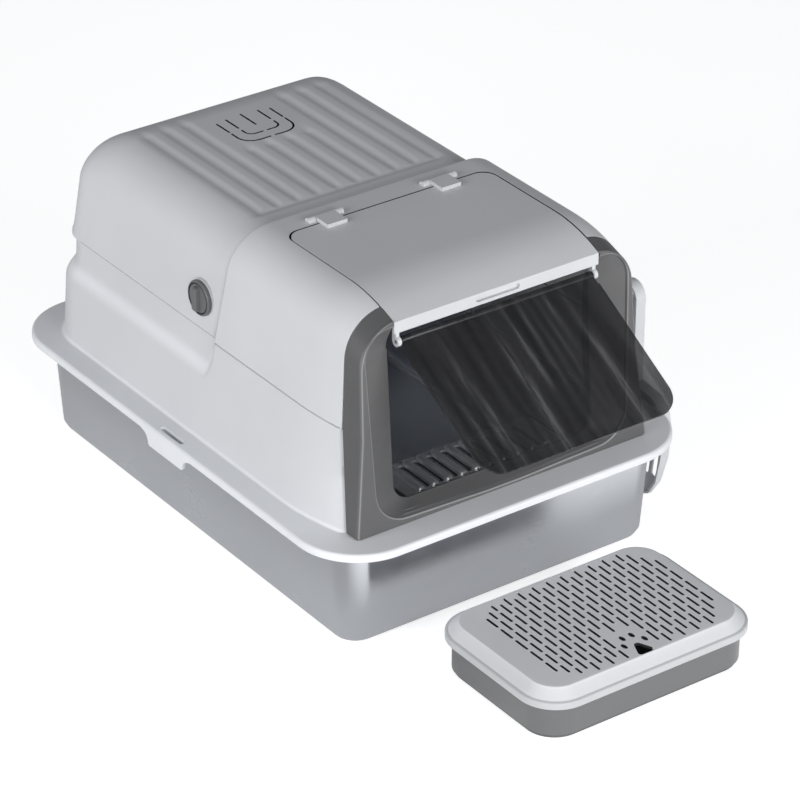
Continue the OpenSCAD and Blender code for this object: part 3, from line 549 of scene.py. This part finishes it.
def arch(row, e, t):
    """One arch of the hood from a row of hood_rows, inside by e at the sides and t at the roof."""
    d, y0, y1, w, top, r, bead, lean = row
    hw, z1, rr = w - e, top - t, max(1.5, r - e)
    if e:
        y0, y1 = y0 - e * max(0, 1 - d / CROWN_R), y1 - e * max(0, 1 - d / CROWN_R)
    reach = hw - rr - (z1 - rr - SEAM_Z) * lean
    b = 0 if e else bead
    side = [(hw + b - (0 if e else SEAM_V), SEAM_Z), (hw + b, SEAM_Z + SEAM_V), (hw + b, SEAM_Z + 5),
            (hw + b * 0.2, SEAM_Z + 9)]
    side += [(hw + (reach + rr - hw) * s, SEAM_Z + 9 + (z1 - rr - SEAM_Z - 9) * s) for s in (0.3, 0.65)]
    side += arc(reach, z1 - rr, rr, 0, 90, 14)
    flat = [(reach - 2 * reach * i / COLUMNS, z1) for i in range(1, COLUMNS)]
    line = side + flat + [(-x, z) for x, z in reversed(side)]
    points = []
    for x, z in line:
        y = y0 + (y1 - y0) * (z - SEAM_Z) / (ROOF_Z - SEAM_Z)
        points.append((x, y, z - (groove(x, y) if not e and z > top - 3 and top <= ROOF_LOW + 1 else 0)))
    return points


def hood_shell():
    """Outer and inner skin of the hood, joined along the seam and round the front edge."""
    rows = hood_rows()
    outer = [arch(r, 0, 0) for r in rows]
    inner = [arch(r, WALL, WALL if r[4] > ROOF_LOW else 7) for r in rows]
    n, m = len(outer[0]), len(rows)
    base = n * m
    faces = []
    for i in range(m - 1):
        a, c = i * n, (i + 1) * n
        for j in range(n - 1):
            faces.append((a + j, a + j + 1, c + j + 1, c + j))
            faces.append((base + a + j, base + c + j, base + c + j + 1, base + a + j + 1))
        faces += [(a, c, base + c, base + a), (a + n - 1, base + a + n - 1, base + c + n - 1, c + n - 1)]
    last = (m - 1) * n
    faces += [(last + j, last + j + 1, base + last + j + 1, base + last + j) for j in range(n - 1)]
    faces += [tuple(range(n)), tuple(base + j for j in range(n)), (0, base, base + n - 1, n - 1)]
    return raw("hood_shell", [p for r in outer + inner for p in r], faces)


def lid_hole(grow):
    """Outline of the lid's opening, wider than the lid by grow."""
    w, y = LID_W / 2 + grow, grow - LID_BACK
    corner = arc(w - LID_R, y - LID_R, LID_R, 0, 90, 10)
    return [(-w, -300), (w, -300)] + corner + [(-x, v) for x, v in reversed(corner)]


def vent_lines():
    """Nested U-shaped odour slots, open towards the back."""
    lines = []
    for x, long, back in ((0, 30, 3), (0.6 * VENT_W, 25, 3), (VENT_W, 25, 0)):
        sides = (1,) if x == 0 else (-1, 1)
        lines += [slot_line(s * x, VENT_Y + back, VENT_SLOT, long) for s in sides]
    for w, foot, r, top in ((VENT_W, 42, 16, 15), (VENT_W * 0.6, 28, 8, 14)):
        h = VENT_SLOT / 2
        y = VENT_Y - foot
        for s in (-1, 1):
            out = [(2.2, y - h)] + arc(w - r, y + r, r + h, -90, 0, 8) + [(w + h, VENT_Y - top)]
            back = [(w - h, VENT_Y - top)] + arc(w - r, y + r, r - h, 0, -90, 8) + [(2.2, y + h)]
            lines.append([(s * u, v) for u, v in out + back])
    return lines


def hood_gap_shade(c, n):
    """Faces inside the seam, the vent slots and the lid's opening, which get painted shade."""
    seam = c.z < SEAM_Z + 0.7
    near_vent = abs(c.x) < VENT_W + 4 and abs(c.y - VENT_Y + 12) < 40
    vent = near_vent and c.z > ROOF_LOW - 8 and abs(n.z) < 0.4
    lid = abs(c.x) < LID_W / 2 + 3 and c.y < 5 - LID_BACK and c.z > 290 and abs(n.z) < 0.4 and n.y < 0.9
    return seam or vent or (lid and abs(n.y) + abs(n.x) > 0.95 and not outside(c, n))


def outside(c, n):
    """True on the hood's outer skin, where the normal leans away from the middle."""
    return c.x * n.x > 0 and abs(n.x) > 0.3


def hood_step_shade(x, y, z):
    """Painted shade: a darker line down each side of the hood, at the foot of the step."""
    shift = 20 * (z - SEAM_Z) / (ROOF_Z - SEAM_Z)
    at = y + shift - STEP_Y
    return -0.28 * exp(-(at / 3.5) ** 2) if abs(x) > 110 else 0


def frame_painted_light(x, y, z):
    """Painted light on the frame: a paler rim where the ledge catches light, a painted shade line at the
    foot of the step, and a painted highlight where the recess turns out.
    """
    k = recessed(y, z)
    side = recessed(y, SEAM_Z)
    foot = exp(-((y - STEP_Y) / 3.5) ** 2) if z > RECESS_Z + RECESS_R else 0
    if z < LEDGE_Z + 2:
        return 0.28
    return (1.1 * k * (1 - k) if z < RECESS_Z + 12 and side > 0.5 else 0) - 0.28 * foot


def roof_line(d, ys):
    return [(y, ROOF_Z - droop(y) - d) for y in ys]


def make_hood():
    hood = hood_shell()
    opening = prism_data(lid_hole(LID_GAP), ROOF_Z - 60, ROOF_Z + 20)
    vents = [prism_data(line, ROOF_LOW - 12, ROOF_LOW + 5) for line in vent_lines()]
    shaft = round_data(KNOB_Y, KNOB_Z, 4.1, -200, 200, "x")
    pockets = [box_data((s * HINGE_X - LEAF_W / 2 - 0.4, AXIS_Y - 12, AXIS_Z - KNUCKLE_R - 0.6),
                        (s * HINGE_X + LEAF_W / 2 + 0.4, AXIS_Y + 4.6, AXIS_Z + 9)) for s in (-1, 1)]
    carve(hood, ("DIFFERENCE", merged("cut", [opening, shaft] + vents)),
          ("DIFFERENCE", merged("cut2", pockets)))
    dress(hood, LIGHT, "hood", "light_plastic", "upper_hood", deep=hood_gap_shade, tone=hood_step_shade)


def lid_rail(s):
    """Rail under one edge of the lid, with the web that joins it to the roof."""
    ys = [65 - LID_BACK - 71] + list(range(-90, -228, -12)) + [1.5 - BEZEL_Y]
    rail = roof_line(6.3, ys) + roof_line(8.8, ys)[::-1]
    web = roof_line(2, ys) + roof_line(8.8, ys)[::-1]
    at = s * (LID_W / 2 + 2)
    web_x = s * (LID_W / 2 + 3)
    return [prism_data(rail, min(at, at - s * 9), max(at, at - s * 9), "x"),
            prism_data(web, web_x - 1, web_x + 1, "x")]


def knob_pad(s):
    pad = SEAM_W - STEP_IN - (KNOB_Z - SEAM_Z) * TOP_DRAFT
    lo, hi = sorted((s * (pad - 1.5), s * (pad + PAD_H)))
    return round_data(KNOB_Y, KNOB_Z, KNOB_R + 1, lo, hi, "x", 64)


def hinge_ear(x):
    foot_z = AXIS_Z - KNUCKLE_R - 3
    ear = arc(AXIS_Y, AXIS_Z, KNUCKLE_R, -20, 200, 14)
    ear += [(AXIS_Y - KNUCKLE_R - 1.5, foot_z), (AXIS_Y + KNUCKLE_R + 4, foot_z)]
    return prism_data(ear, x - EAR_W / 2, x + EAR_W / 2, "x")


def filter_guide(s):
    hook = [(50.3, 329), (50.3, 332), (52.8, 332), (52.8, 326.5), (46.6, 326.5), (46.6, 329)]
    return prism_data([(s * u, v) for u, v in hook], VENT_Y - 37, VENT_Y + 37, "y")


def make_fittings():
    """Rails, knob pads, hinge ears, filter guides and the bar under the lid's rear edge."""
    parts = []
    for s in (-1, 1):
        parts += lid_rail(s)
        parts.append(knob_pad(s))
        for t in (-1, 1):
            parts.append(hinge_ear(s * HINGE_X + t * (LEAF_W / 2 + 0.4 + EAR_W / 2)))
        parts.append(filter_guide(s))
    parts.append(box_data((-LID_W / 2, -74, 336.7), (LID_W / 2, -65, 339.2)))
    # Rails, webs and the bar under the front of the lid get painted shade.
    dress(merged("hood_fittings", parts), LIGHT, "hood", "light_plastic", soften=False,
          deep=lambda c, n: c.y < -66 and abs(c.x) < 128)


# Frame

def wall_ring(z, e):
    """Outline of the lower wall at height z, moved outward by e, drawn in behind the recess edge."""
    w = side_w(z) + e
    k = (z - LEDGE_Z) / (SEAM_Z - LEDGE_Z)
    inset = STEP_IN * recessed(100, z)
    v = w - inset
    b = FOOT_BACK + (STEP_IN + BACK_Y - FOOT_BACK) * k + e - inset
    r = 62 - 24 * k
    yf = -front_line(z) - min(e, 0)
    side = [(w - STEP_IN * recessed(y, z), y) for y in range(22, -28, -2)]
    for i in range(12):
        y = -40 - (front_line(z) - 46) * i / 11
        side.append((w - bow(y, z), y))
    side.append((w - bow(yf, z) - 6, yf))
    back = arc(v - r, b - r, r, 0, 90, 14) + arc(r - v, b - r, r, 90, 180, 14)
    return [(x, y, z) for x, y in back + [(-x, y) for x, y in side] + side[::-1]]


def frame_wall():
    """The wall from the ledge to the seam, with the recess edge across it, and its inner side."""
    z0 = RECESS_Z - RECESS_H / 2
    rise = [z0 + RECESS_H * i / 10 for i in range(11)]
    steps = [(LEDGE_Z - 1, 3), (LEDGE_Z, 3), (LEDGE_Z + 0.5, 1.6), (LEDGE_Z + 1.4, 0.6)]
    steps += [(LEDGE_Z + 3.4, 0), (z0 - 12, 0)] + [(z, 0) for z in rise]
    steps += [(SEAM_Z - SEAM_V, 0), (SEAM_Z - 0.1, -SEAM_V), (SEAM_Z - 0.1, -WALL)]
    steps += [(z, -WALL) for z in rise[::-2]] + [(LEDGE_Z - 1, -WALL)]
    return raw("frame_shell", *hoop_data([wall_ring(z, e) for z, e in steps]))


def rim_parts():
    """The turned-down rim, and the ledge between it and the wall."""
    r, edge, h = 3.5, 10, RIM_R
    section = [(h - edge, FLANGE_Z), (h - WALL, FLANGE_Z), (h - WALL, SKIRT_Z + 1)]
    section += [(h - WALL + 1, SKIRT_Z), (h - 1, SKIRT_Z), (h, SKIRT_Z + 1)]
    section += arc(h - r, LEDGE_Z - r, r, 0, 90, 8) + [(h - edge, LEDGE_Z)]
    rim = sweep_data(section, RIM_HW, RIM_HL, h)
    inner = plan(RIM_HW - edge + 0.5, RIM_HL - edge + 0.5, h - edge)
    return rim, prism_data(inner, FLANGE_Z, LEDGE_Z)


def rim_lugs():
    """One lug under the rim on each side, its ends drawn in by a quarter round."""
    f, half, drop = 12, 31, 14
    turns = [radians(a) for a in range(0, 91, 9)]
    end = [(-half - f + f * sin(a), SKIRT_Z - f + f * cos(a)) for a in turns]
    lug = [(-half - f, SKIRT_Z + 1)] + end + [(2 - half, SKIRT_Z - drop)]
    lug += [(-u, v) for u, v in reversed(lug)]
    return [prism_data(lug, *sorted((s * RIM_HW, s * (RIM_HW - WALL))), "x") for s in (-1, 1)]


def make_frame():
    frame_piece = frame_wall()
    rim, ledge = rim_parts()
    hole = [(x, y + 13) for x, y in plan(184.5, 253, 30)]
    opening = prism_data(hole, SKIRT_Z - 1, LEDGE_Z + 0.001)
    mouth = box_data((-DOOR_HW - 9, -BEZEL_Y - 60, LEDGE_Z + 1),
                     (DOOR_HW + 9, 30 - BEZEL_Y, LEDGE_Z + 160))
    slots = [prism_data(slot_line(s * (RIM_HW - 9), 0, 6, 40), SKIRT_Z - 1, LEDGE_Z + 5)
             for s in (-1, 1)]
    carve(frame_piece, ("UNION", raw("rim", *rim)), ("UNION", raw("ledge", *ledge)),
          ("UNION", merged("lugs", rim_lugs())), ("DIFFERENCE", raw("opening", *opening)),
          ("DIFFERENCE", raw("mouth", *mouth)), ("DIFFERENCE", merged("slots", slots)))
    # The seam's chamfer behind the step gets painted shade.
    dress(frame_piece, LIGHT, "frame", "light_plastic", "base_frame", tone=frame_painted_light,
          deep=lambda c, n: c.z > SEAM_Z - 0.7 and c.y > STEP_Y - STEP_RUN)


# Bezel

def face(z):
    return -FACE_Y + FACE_LEAN * (z - LEDGE_Z)


def front_w(z):
    if z > SEAM_Z:
        return SEAM_W - BOW_SEAM - (z - SEAM_Z) * FRONT_DRAFT
    return side_w(z) - bow(-front_line(z), z)


def edge_y(z):
    """Where the bezel meets the side walls, and the hood above the seam."""
    return -BEZEL_Y if z > SEAM_Z else -front_line(z)


def bezel_loop(low, r0, kink, high, r1, mode, d, dip=0):
    """Closed line round the doorway, d behind the leaning face, or d before the rear edge."""
    right = [(20, low[1] - dip)] + arc(low[0] - r0, low[1] + r0, r0, -90, 0, 10)
    right += [kink] + arc(high[0] - r1, high[1] - r1, r1, 0, 90, 14)
    line = right + [(-u, v) for u, v in reversed(right)]
    return [(u, edge_y(v) - d if mode == "back" else face(v) + d, v) for u, v in line]


def outer_loop(e, lift, top, r1, mode, d):
    return bezel_loop((FOOT_W - BOW_FOOT - e, LEDGE_Z + 0.2 + lift), 2 + lift,
                      (front_w(SEAM_Z) - e, SEAM_Z),
                      (front_w(ROOF_Z - SHOULDER_R) - e, top), r1, mode, d)


def field_loop(e, d):
    return bezel_loop((151 - e, 125 + e), 36 - e, (154 - e, SEAM_Z + 26), (156 - e, ROOF_Z - 19 - e),
                      30 - e, "face", d, 3)


def door_loop(e, mode, d):
    return bezel_loop((DOOR_HW + e, SILL_Z - e), DOOR_R + e, (DOOR_HW + e, SEAM_Z),
                      (DOOR_HW + e, ROOF_Z - droop(-FACE_Y) - 18 + e), 8, mode, d)


def make_bezel():
    top_b, top_f, corner = ROOF_Z - droop(-BEZEL_Y), ROOF_Z - droop(-250), 4
    loops = [outer_loop(0, 0, top_b, SHOULDER_R, "back", GAP)]
    for a in range(0, 91, 15):
        c, s = cos(radians(a)), sin(radians(a))
        e = corner * (1 - c)
        loops.append(outer_loop(e + 0.3, (1 - c) * 0.8, top_f + 2 - e * 0.4, SHOULDER_R - e,
                                "face", corner * (1 - s)))
    loops += [field_loop(-0.8, 0.15), field_loop(0, 0.35), field_loop(0.6, 0.8), field_loop(1, 1.4),
              field_loop(1.8, 3), field_loop(3.2, 3.6),
              door_loop(1.5, "face", 16), door_loop(0, "face", 17.5), door_loop(0, "back", GAP),
              door_loop(WALL, "back", GAP), door_loop(WALL, "face", 20), field_loop(5, 7),
              outer_loop(corner + 1, WALL, top_f - 3.5, SHOULDER_R - 8, "face", 3.5),
              outer_loop(WALL + 1, WALL, top_b - WALL, SHOULDER_R - WALL, "back", GAP)]
    bezel = raw("bezel_shell", *hoop_data(loops))
    room = box_data((-LID_W / 2 - 1, -FACE_Y - 20, 297), (LID_W / 2 + 1, -170, 400))
    carve(bezel, ("DIFFERENCE", raw("room", *room)))
    # A painted highlight line along the edge of the recessed field.
    dress(bezel, DARK, "hood", "dark_plastic", "front_bezel",
          tone=lambda x, y, z: 1.5 if 0.25 < y - face(z) < 0.95 else 0)


def make_shelf():
    """Shelf under the steel grate, with a slot below each gap of the grate."""
    pitch, half = 178 / 10.5, 98.5
    shelf = raw("bezel_shelf", *box_data((-half, 5 - FACE_Y, 122.5), (half, -180, 125)))
    wells = [prism_data(slot_line((i - 4) * pitch, -210.5, pitch / 2, 47), 120, 127) for i in range(9)]
    carve(shelf, ("DIFFERENCE", merged("wells", wells)))
    dress(shelf, DARK, "hood", "dark_plastic", soften=False)


# Knobs and step cover

def make_knob(s, body, node):
    """Disc with a ring groove, a shaft through the wall and a tapered ridge to hold."""
    base = s * (SEAM_W - STEP_IN - (KNOB_Z - SEAM_Z) * TOP_DRAFT + PAD_H + 0.3)
    r, t = KNOB_R, KNOB_T
    disc = [(r, 0), (r, t - 0.8), (r - 0.8, t), (r - 2, t), (r - 2.2, t - 1), (r - 3.6, t - 1),
            (r - 3.8, t), (0.2, t)]
    shaft = [(3.9, -13), (3.9, 0)]
    rings = [[(h, q * cos(a), q * sin(a)) for a in (2 * pi * i / 64 for i in range(64))]
             for q, h in shaft + disc]
    ridge = [[(h, v, u) for u, v in plan(w, l, 2.5, 5)] for h, w, l in
             ((t - 1, r - 5, 4.6), (t + RIDGE_H - 1, r - 6, 4), (t + RIDGE_H, r - 7.2, 3))]
    parts = []
    for verts, faces in (skin_data(rings), skin_data(ridge)):
        parts.append(([(base + s * x, KNOB_Y + y, KNOB_Z + z) for x, y, z in verts], faces))
    # The ring groove in the disc gets painted shade.
    dress(merged(node + "_grip", parts), KNOB, body, "knob_plastic", node,
          deep=lambda c, n: KNOB_R - 3.7 < hypot(c.y - KNOB_Y, c.z - KNOB_Z) < KNOB_R - 2.1)


def sieve_parts():
    """Staggered slots inside a field with cut corners, and a paw at the front edge."""
    lines = []
    pitch, row, long, hw, hd = 8.5, 23, 19, STEP_HW - 30, STEP_HD - 17
    paw_x, paw_y, shift = -1, 23 - STEP_HD, 8
    for i in range(-12, 12):
        for j in range(-4, 5):
            x, y = (i + 0.5) * pitch, j * row + (0 if i % 2 == 0 else row / 2)
            reach = hd - max(0, abs(x) - hw + 26) * 0.9
            a, b = max(y - long / 2, -reach), min(y + long / 2, reach)
            if b - a > 7 and not (abs(x - paw_x + shift) < 17 and a < paw_y + 34):
                lines.append(slot_line(x + shift, (a + b) / 2, 2.7, b - a))
    pad = arc(0, 5, 3, 30, 150) + arc(-4.6, -4.6, 2.6, 160, 270) + arc(4.6, -4.6, 2.6, 270, 380)
    lines.append([(paw_x + u * 1.25, paw_y + v * 1.25) for u, v in pad])
    for u, v in ((-5.5, 23), (5.5, 23), (-12.2, 11.5), (12.2, 11.5)):
        toe = arc(0, 0, 4, 0, 345, 23)
        lines.append([(paw_x + u + 0.62 * a, paw_y + v + 1.1 * b) for a, b in toe])
    return [prism_data(line, STEP_H - 12, STEP_H + 3) for line in lines]


def cover_slot_shade(c, n):
    """Walls of the sieve slots and of the paw, which get painted shade."""
    inside = abs(c.x - STEP_X) < 109 and abs(c.y - STEP_C) < 74
    return inside and c.z > STEP_H - 3.2 and abs(n.z) < 0.2


def make_cover():
    h, r = STEP_H, STEP_R
    outside_line = [(0, -17), (0, -11.5), (0.5, -10.6), (1.4, -10), (2.8, -9.8), (3.6, -9.3),
                    (7.6, -5.7), (12, -2), (12.4, -0.9), (13.2, -0.2), (14, 0), (20, 0)]
    profile = outside_line + [(20, -3), (14.5, -3), (6, -9.6), (3, -12), (3, -17)]
    edge = sweep_data([(r - u, h + v) for u, v in profile], STEP_HW, STEP_HD, r)
    plate = prism_data(plan(STEP_HW - 19.5, STEP_HD - 19.5, r - 19.5), h - 3, h)
    cover = raw("cover_edge", *edge)
    carve(cover, ("UNION", raw("plate", *plate)), ("DIFFERENCE", merged("sieve", sieve_parts())))
    cover.data.transform(Matrix.Translation((STEP_X * MM, STEP_C * MM, 0)))
    # The cover's turned-down edge is painted darker: painted shade.
    dress(cover, COVER, "sieve", "light_plastic", "step_cover", deep=cover_slot_shade,
          tone=lambda x, y, z: -0.22 if z < STEP_H - 9.4 else 0)


# Scoop and its hanger

def scoop_lines(inset):
    """Outlines of the blade and of the handle, drawn in by inset."""
    hw, low, long = BLADE_W / 2 - inset, BLADE_LOW + inset, BLADE_TOP - BLADE_LOW - 2 * inset
    shares = [(0.3, 1), (0.72, 0.97), (0.93, 0.87), (1, 0.74),
              (0.98, 0.45), (0.88, 0.2), (0.72, 0.06), (0.5, 0)]
    side = [(u * hw, low + v * long) for u, v in shares]
    g = GRIP_W / 2 - inset
    handle = [(-g, BLADE_TOP - 12), (g, BLADE_TOP - 12)] + arc(0, SCOOP_TOP - GRIP_W / 2, g, 0, 180, 24)
    return side + [(-u, v) for u, v in reversed(side)], handle


def scoop_body(inset, t, low):
    """Blade and handle in one, its outer side sloped in towards the tip."""
    blade, handle = (raw("part", *prism_data(line, low, SCOOP_D, "x"))
                     for line in scoop_lines(inset))
    d, long = SCOOP_D - t, BLADE_TOP - BLADE_LOW
    slope = [(-3, BLADE_LOW - 2), (d - SCOOP_D * 0.78, BLADE_LOW - 2),
             (d - SCOOP_D * 0.4, BLADE_LOW + long * 0.22),
             (d - SCOOP_D * 0.14, BLADE_LOW + long * 0.42),
             (d, BLADE_LOW + long * 0.62), (d, SCOOP_TOP + 5), (-3, SCOOP_TOP + 5)]
    keep = raw("slope", *prism_data(slope, -200, 200, "y"))
    return carve(blade, ("UNION", handle), ("INTERSECT", keep))


def make_scoop():
    scoop = scoop_body(0, 0, 0)
    scoop.name = "scoop_shell"
    long = BLADE_TOP - BLADE_LOW
    cuts = [round_data(0, SCOOP_TOP - GRIP_W / 2, 4, -2, 20, "x")]
    for i in range(-4, 5):
        line = slot_line(i * BLADE_W / 11, BLADE_LOW + long * 0.47 - abs(i) * 1.5,
                         7.5, long * 0.58 - abs(i) * 5)
        cuts.append(prism_data(line, -1, SCOOP_D + 1, "x"))
    bar = box_data((2.2, 1 - GRIP_W / 2, 142.2), (5.2, GRIP_W / 2 - 1, 151.2))
    carve(scoop, ("DIFFERENCE", scoop_body(2.5, SCOOP_T, -1)), ("DIFFERENCE", merged("slots", cuts)),
          ("UNION", raw("bar", *bar)))
    scoop.data.transform(Matrix.Translation((SCOOP_X * MM, HANGER_Y * MM, 0)))
    dress(scoop, LIGHT, "scoop", "light_plastic", "scoop")


def make_hanger():
    """Strip bent over the rim, with a hook that the scoop's bar hangs in."""
    line = [(207, 110.5), (210, 110.5), (210, 119.2), (220.2, 119.2), (220.2, 139.6),
            (226.6, 139.6), (226.6, 151), (224.2, 151), (224.2, 142), (220.2, 142),
            (220.2, 151), (217.8, 151), (217.8, 121.6), (207, 121.6)]
    hanger = raw("hanger_hook", *prism_data(line, HANGER_Y - 10, HANGER_Y + 10, "y"))
    dress(hanger, LIGHT, "frame", "light_plastic", "scoop_hanger", soften=False)


make_hood()
make_fittings()
make_frame()
make_bezel()
make_shelf()
make_knob(-1, "left_knob", "knob_left")
make_knob(1, "right_knob", "knob_right")
make_cover()
make_scoop()
make_hanger()


# Floor

# Light that the floor adds for the camera, and its colour for the eye and in reflections.
# In the steel's reflections it glows with the first strength at the first place and the second at the
# other: a painted reflection.
FLOOR_LIFT = 0.66
FLOOR_PALE = (0.8, 0.8, 0.8)
FLOOR_PAINTED_IN_REFLECTION = (0.3, 0.3, 0.3)
SIDE_PAINTED_REFLECTION = (0.04, 0.34, -0.36, -0.22)
FRONT_PAINTED_REFLECTION = (1.25, 0.22, -0.44, -0.30)

def floor_material():
    """White to the eye, with the object's shadow kept faint, and darker in the steel's reflections,
    where a glow set by place paints a reflection.
    """
    m, t, shader, co = new_material("floor")
    shader.inputs["Roughness"].default_value = 0.9
    shader.inputs["Specular IOR Level"].default_value = 0.0
    path = t.nodes.new("ShaderNodeLightPath")
    glow = t.nodes.new("ShaderNodeEmission")
    lift = t.nodes.new("ShaderNodeMath")
    lift.operation = "MULTIPLY"
    lift.inputs[1].default_value = FLOOR_LIFT
    both = t.nodes.new("ShaderNodeAddShader")
    out = next(n for n in t.nodes if n.type == "OUTPUT_MATERIAL")
    t.links.new(path.outputs["Is Camera Ray"], lift.inputs[0])
    # In reflections the floor's colour is darker than to the eye: painted reflection.
    base = ramp(t, path.outputs["Is Glossy Ray"], [(0, FLOOR_PALE), (1, FLOOR_PAINTED_IN_REFLECTION)])
    t.links.new(base, shader.inputs["Base Color"])
    place = t.nodes.new("ShaderNodeSeparateXYZ")
    t.links.new(co, place.inputs[0])
    # A glow seen only in reflections, set by place on the floor: painted reflection.
    side = spread(t, place.outputs[0], *SIDE_PAINTED_REFLECTION)
    front = spread(t, place.outputs[1], *FRONT_PAINTED_REFLECTION)
    seen = t.nodes.new("ShaderNodeMath")
    seen.operation = "MAXIMUM"
    t.links.new(side, seen.inputs[0])
    t.links.new(front, seen.inputs[1])
    painted_reflection = t.nodes.new("ShaderNodeMath")
    painted_reflection.operation = "MULTIPLY"
    t.links.new(seen.outputs[0], painted_reflection.inputs[0])
    t.links.new(path.outputs["Is Glossy Ray"], painted_reflection.inputs[1])
    t.links.new(add(t, painted_reflection.outputs[0], lift.outputs[0], 1), glow.inputs["Strength"])
    t.links.new(shader.outputs[0], both.inputs[0])
    t.links.new(glow.outputs[0], both.inputs[1])
    t.links.new(both.outputs[0], out.inputs[0])
    return m


FLOOR_SIZE = 30
FLOOR_Z = -0.0005
bpy.ops.mesh.primitive_plane_add(size=FLOOR_SIZE, location=(0, 0, FLOOR_Z))
floor = bpy.context.object
floor.name = "floor"
floor.data.materials.append(floor_material())


# World and lamps

def make_world():
    """White to the camera, and a low cool light on everything else."""
    world = bpy.data.worlds.new("studio")
    scene.world = world
    world.use_nodes = True
    t = world.node_tree
    t.nodes.clear()
    out = t.nodes.new("ShaderNodeOutputWorld")
    soft = t.nodes.new("ShaderNodeBackground")
    soft.inputs["Color"].default_value = (0.92, 0.95, 1.0, 1)
    soft.inputs["Strength"].default_value = 0.20
    white = t.nodes.new("ShaderNodeBackground")
    white.inputs["Strength"].default_value = 1
    path = t.nodes.new("ShaderNodeLightPath")
    mix = t.nodes.new("ShaderNodeMixShader")
    t.links.new(path.outputs["Is Camera Ray"], mix.inputs[0])
    t.links.new(soft.outputs[0], mix.inputs[1])
    t.links.new(white.outputs[0], mix.inputs[2])
    t.links.new(mix.outputs[0], out.inputs[0])


def lamp(name, place, target, size, power, colour=(1, 1, 1)):
    data = bpy.data.lights.new(name, "AREA")
    data.shape = "RECTANGLE"
    data.size, data.size_y = size
    data.energy = power
    data.color = colour
    o = bpy.data.objects.new(name, data)
    o.location = place
    o.rotation_mode = "QUATERNION"
    o.rotation_quaternion = (Vector(target) - Vector(place)).to_track_quat("-Z", "Y")
    scene.collection.objects.link(o)


MIDDLE = (0, -0.05, 0.15)
make_world()
lamp("key", (-2.7, -0.5, 0.9), MIDDLE, (2.6, 1.6), 56)
lamp("front", (0.3, -3.0, 0.8), MIDDLE, (2.6, 1.4), 74)
lamp("top", (0.6, 0.8, 2.6), MIDDLE, (2.0, 2.0), 3)


# Camera fitted to the photograph

SENSOR_MM = 36
PHOTO_PX = 800
FOCAL_PX = 3997.253
CAMERA_PLACE = (-2.0259113, -2.878565, 2.1091052)
CAMERA_RIGHT = Vector((0.81066746, -0.58547431, 0.00617304))
CAMERA_UP = Vector((0.28691567, 0.4064194, 0.86746912))
CAMERA_BACK = Vector((-0.51038972, -0.70145785, 0.49745273))


def make_camera():
    data = bpy.data.cameras.new("camera")
    data.sensor_width = SENSOR_MM
    data.lens = FOCAL_PX * SENSOR_MM / PHOTO_PX
    data.clip_start, data.clip_end = 0.1, 60
    camera = bpy.data.objects.new("camera", data)
    turn = Matrix((CAMERA_RIGHT, CAMERA_UP, CAMERA_BACK)).transposed().to_4x4()
    camera.matrix_world = Matrix.Translation(CAMERA_PLACE) @ turn
    scene.collection.objects.link(camera)
    scene.camera = camera


make_camera()
scene.view_settings.view_transform = "Standard"
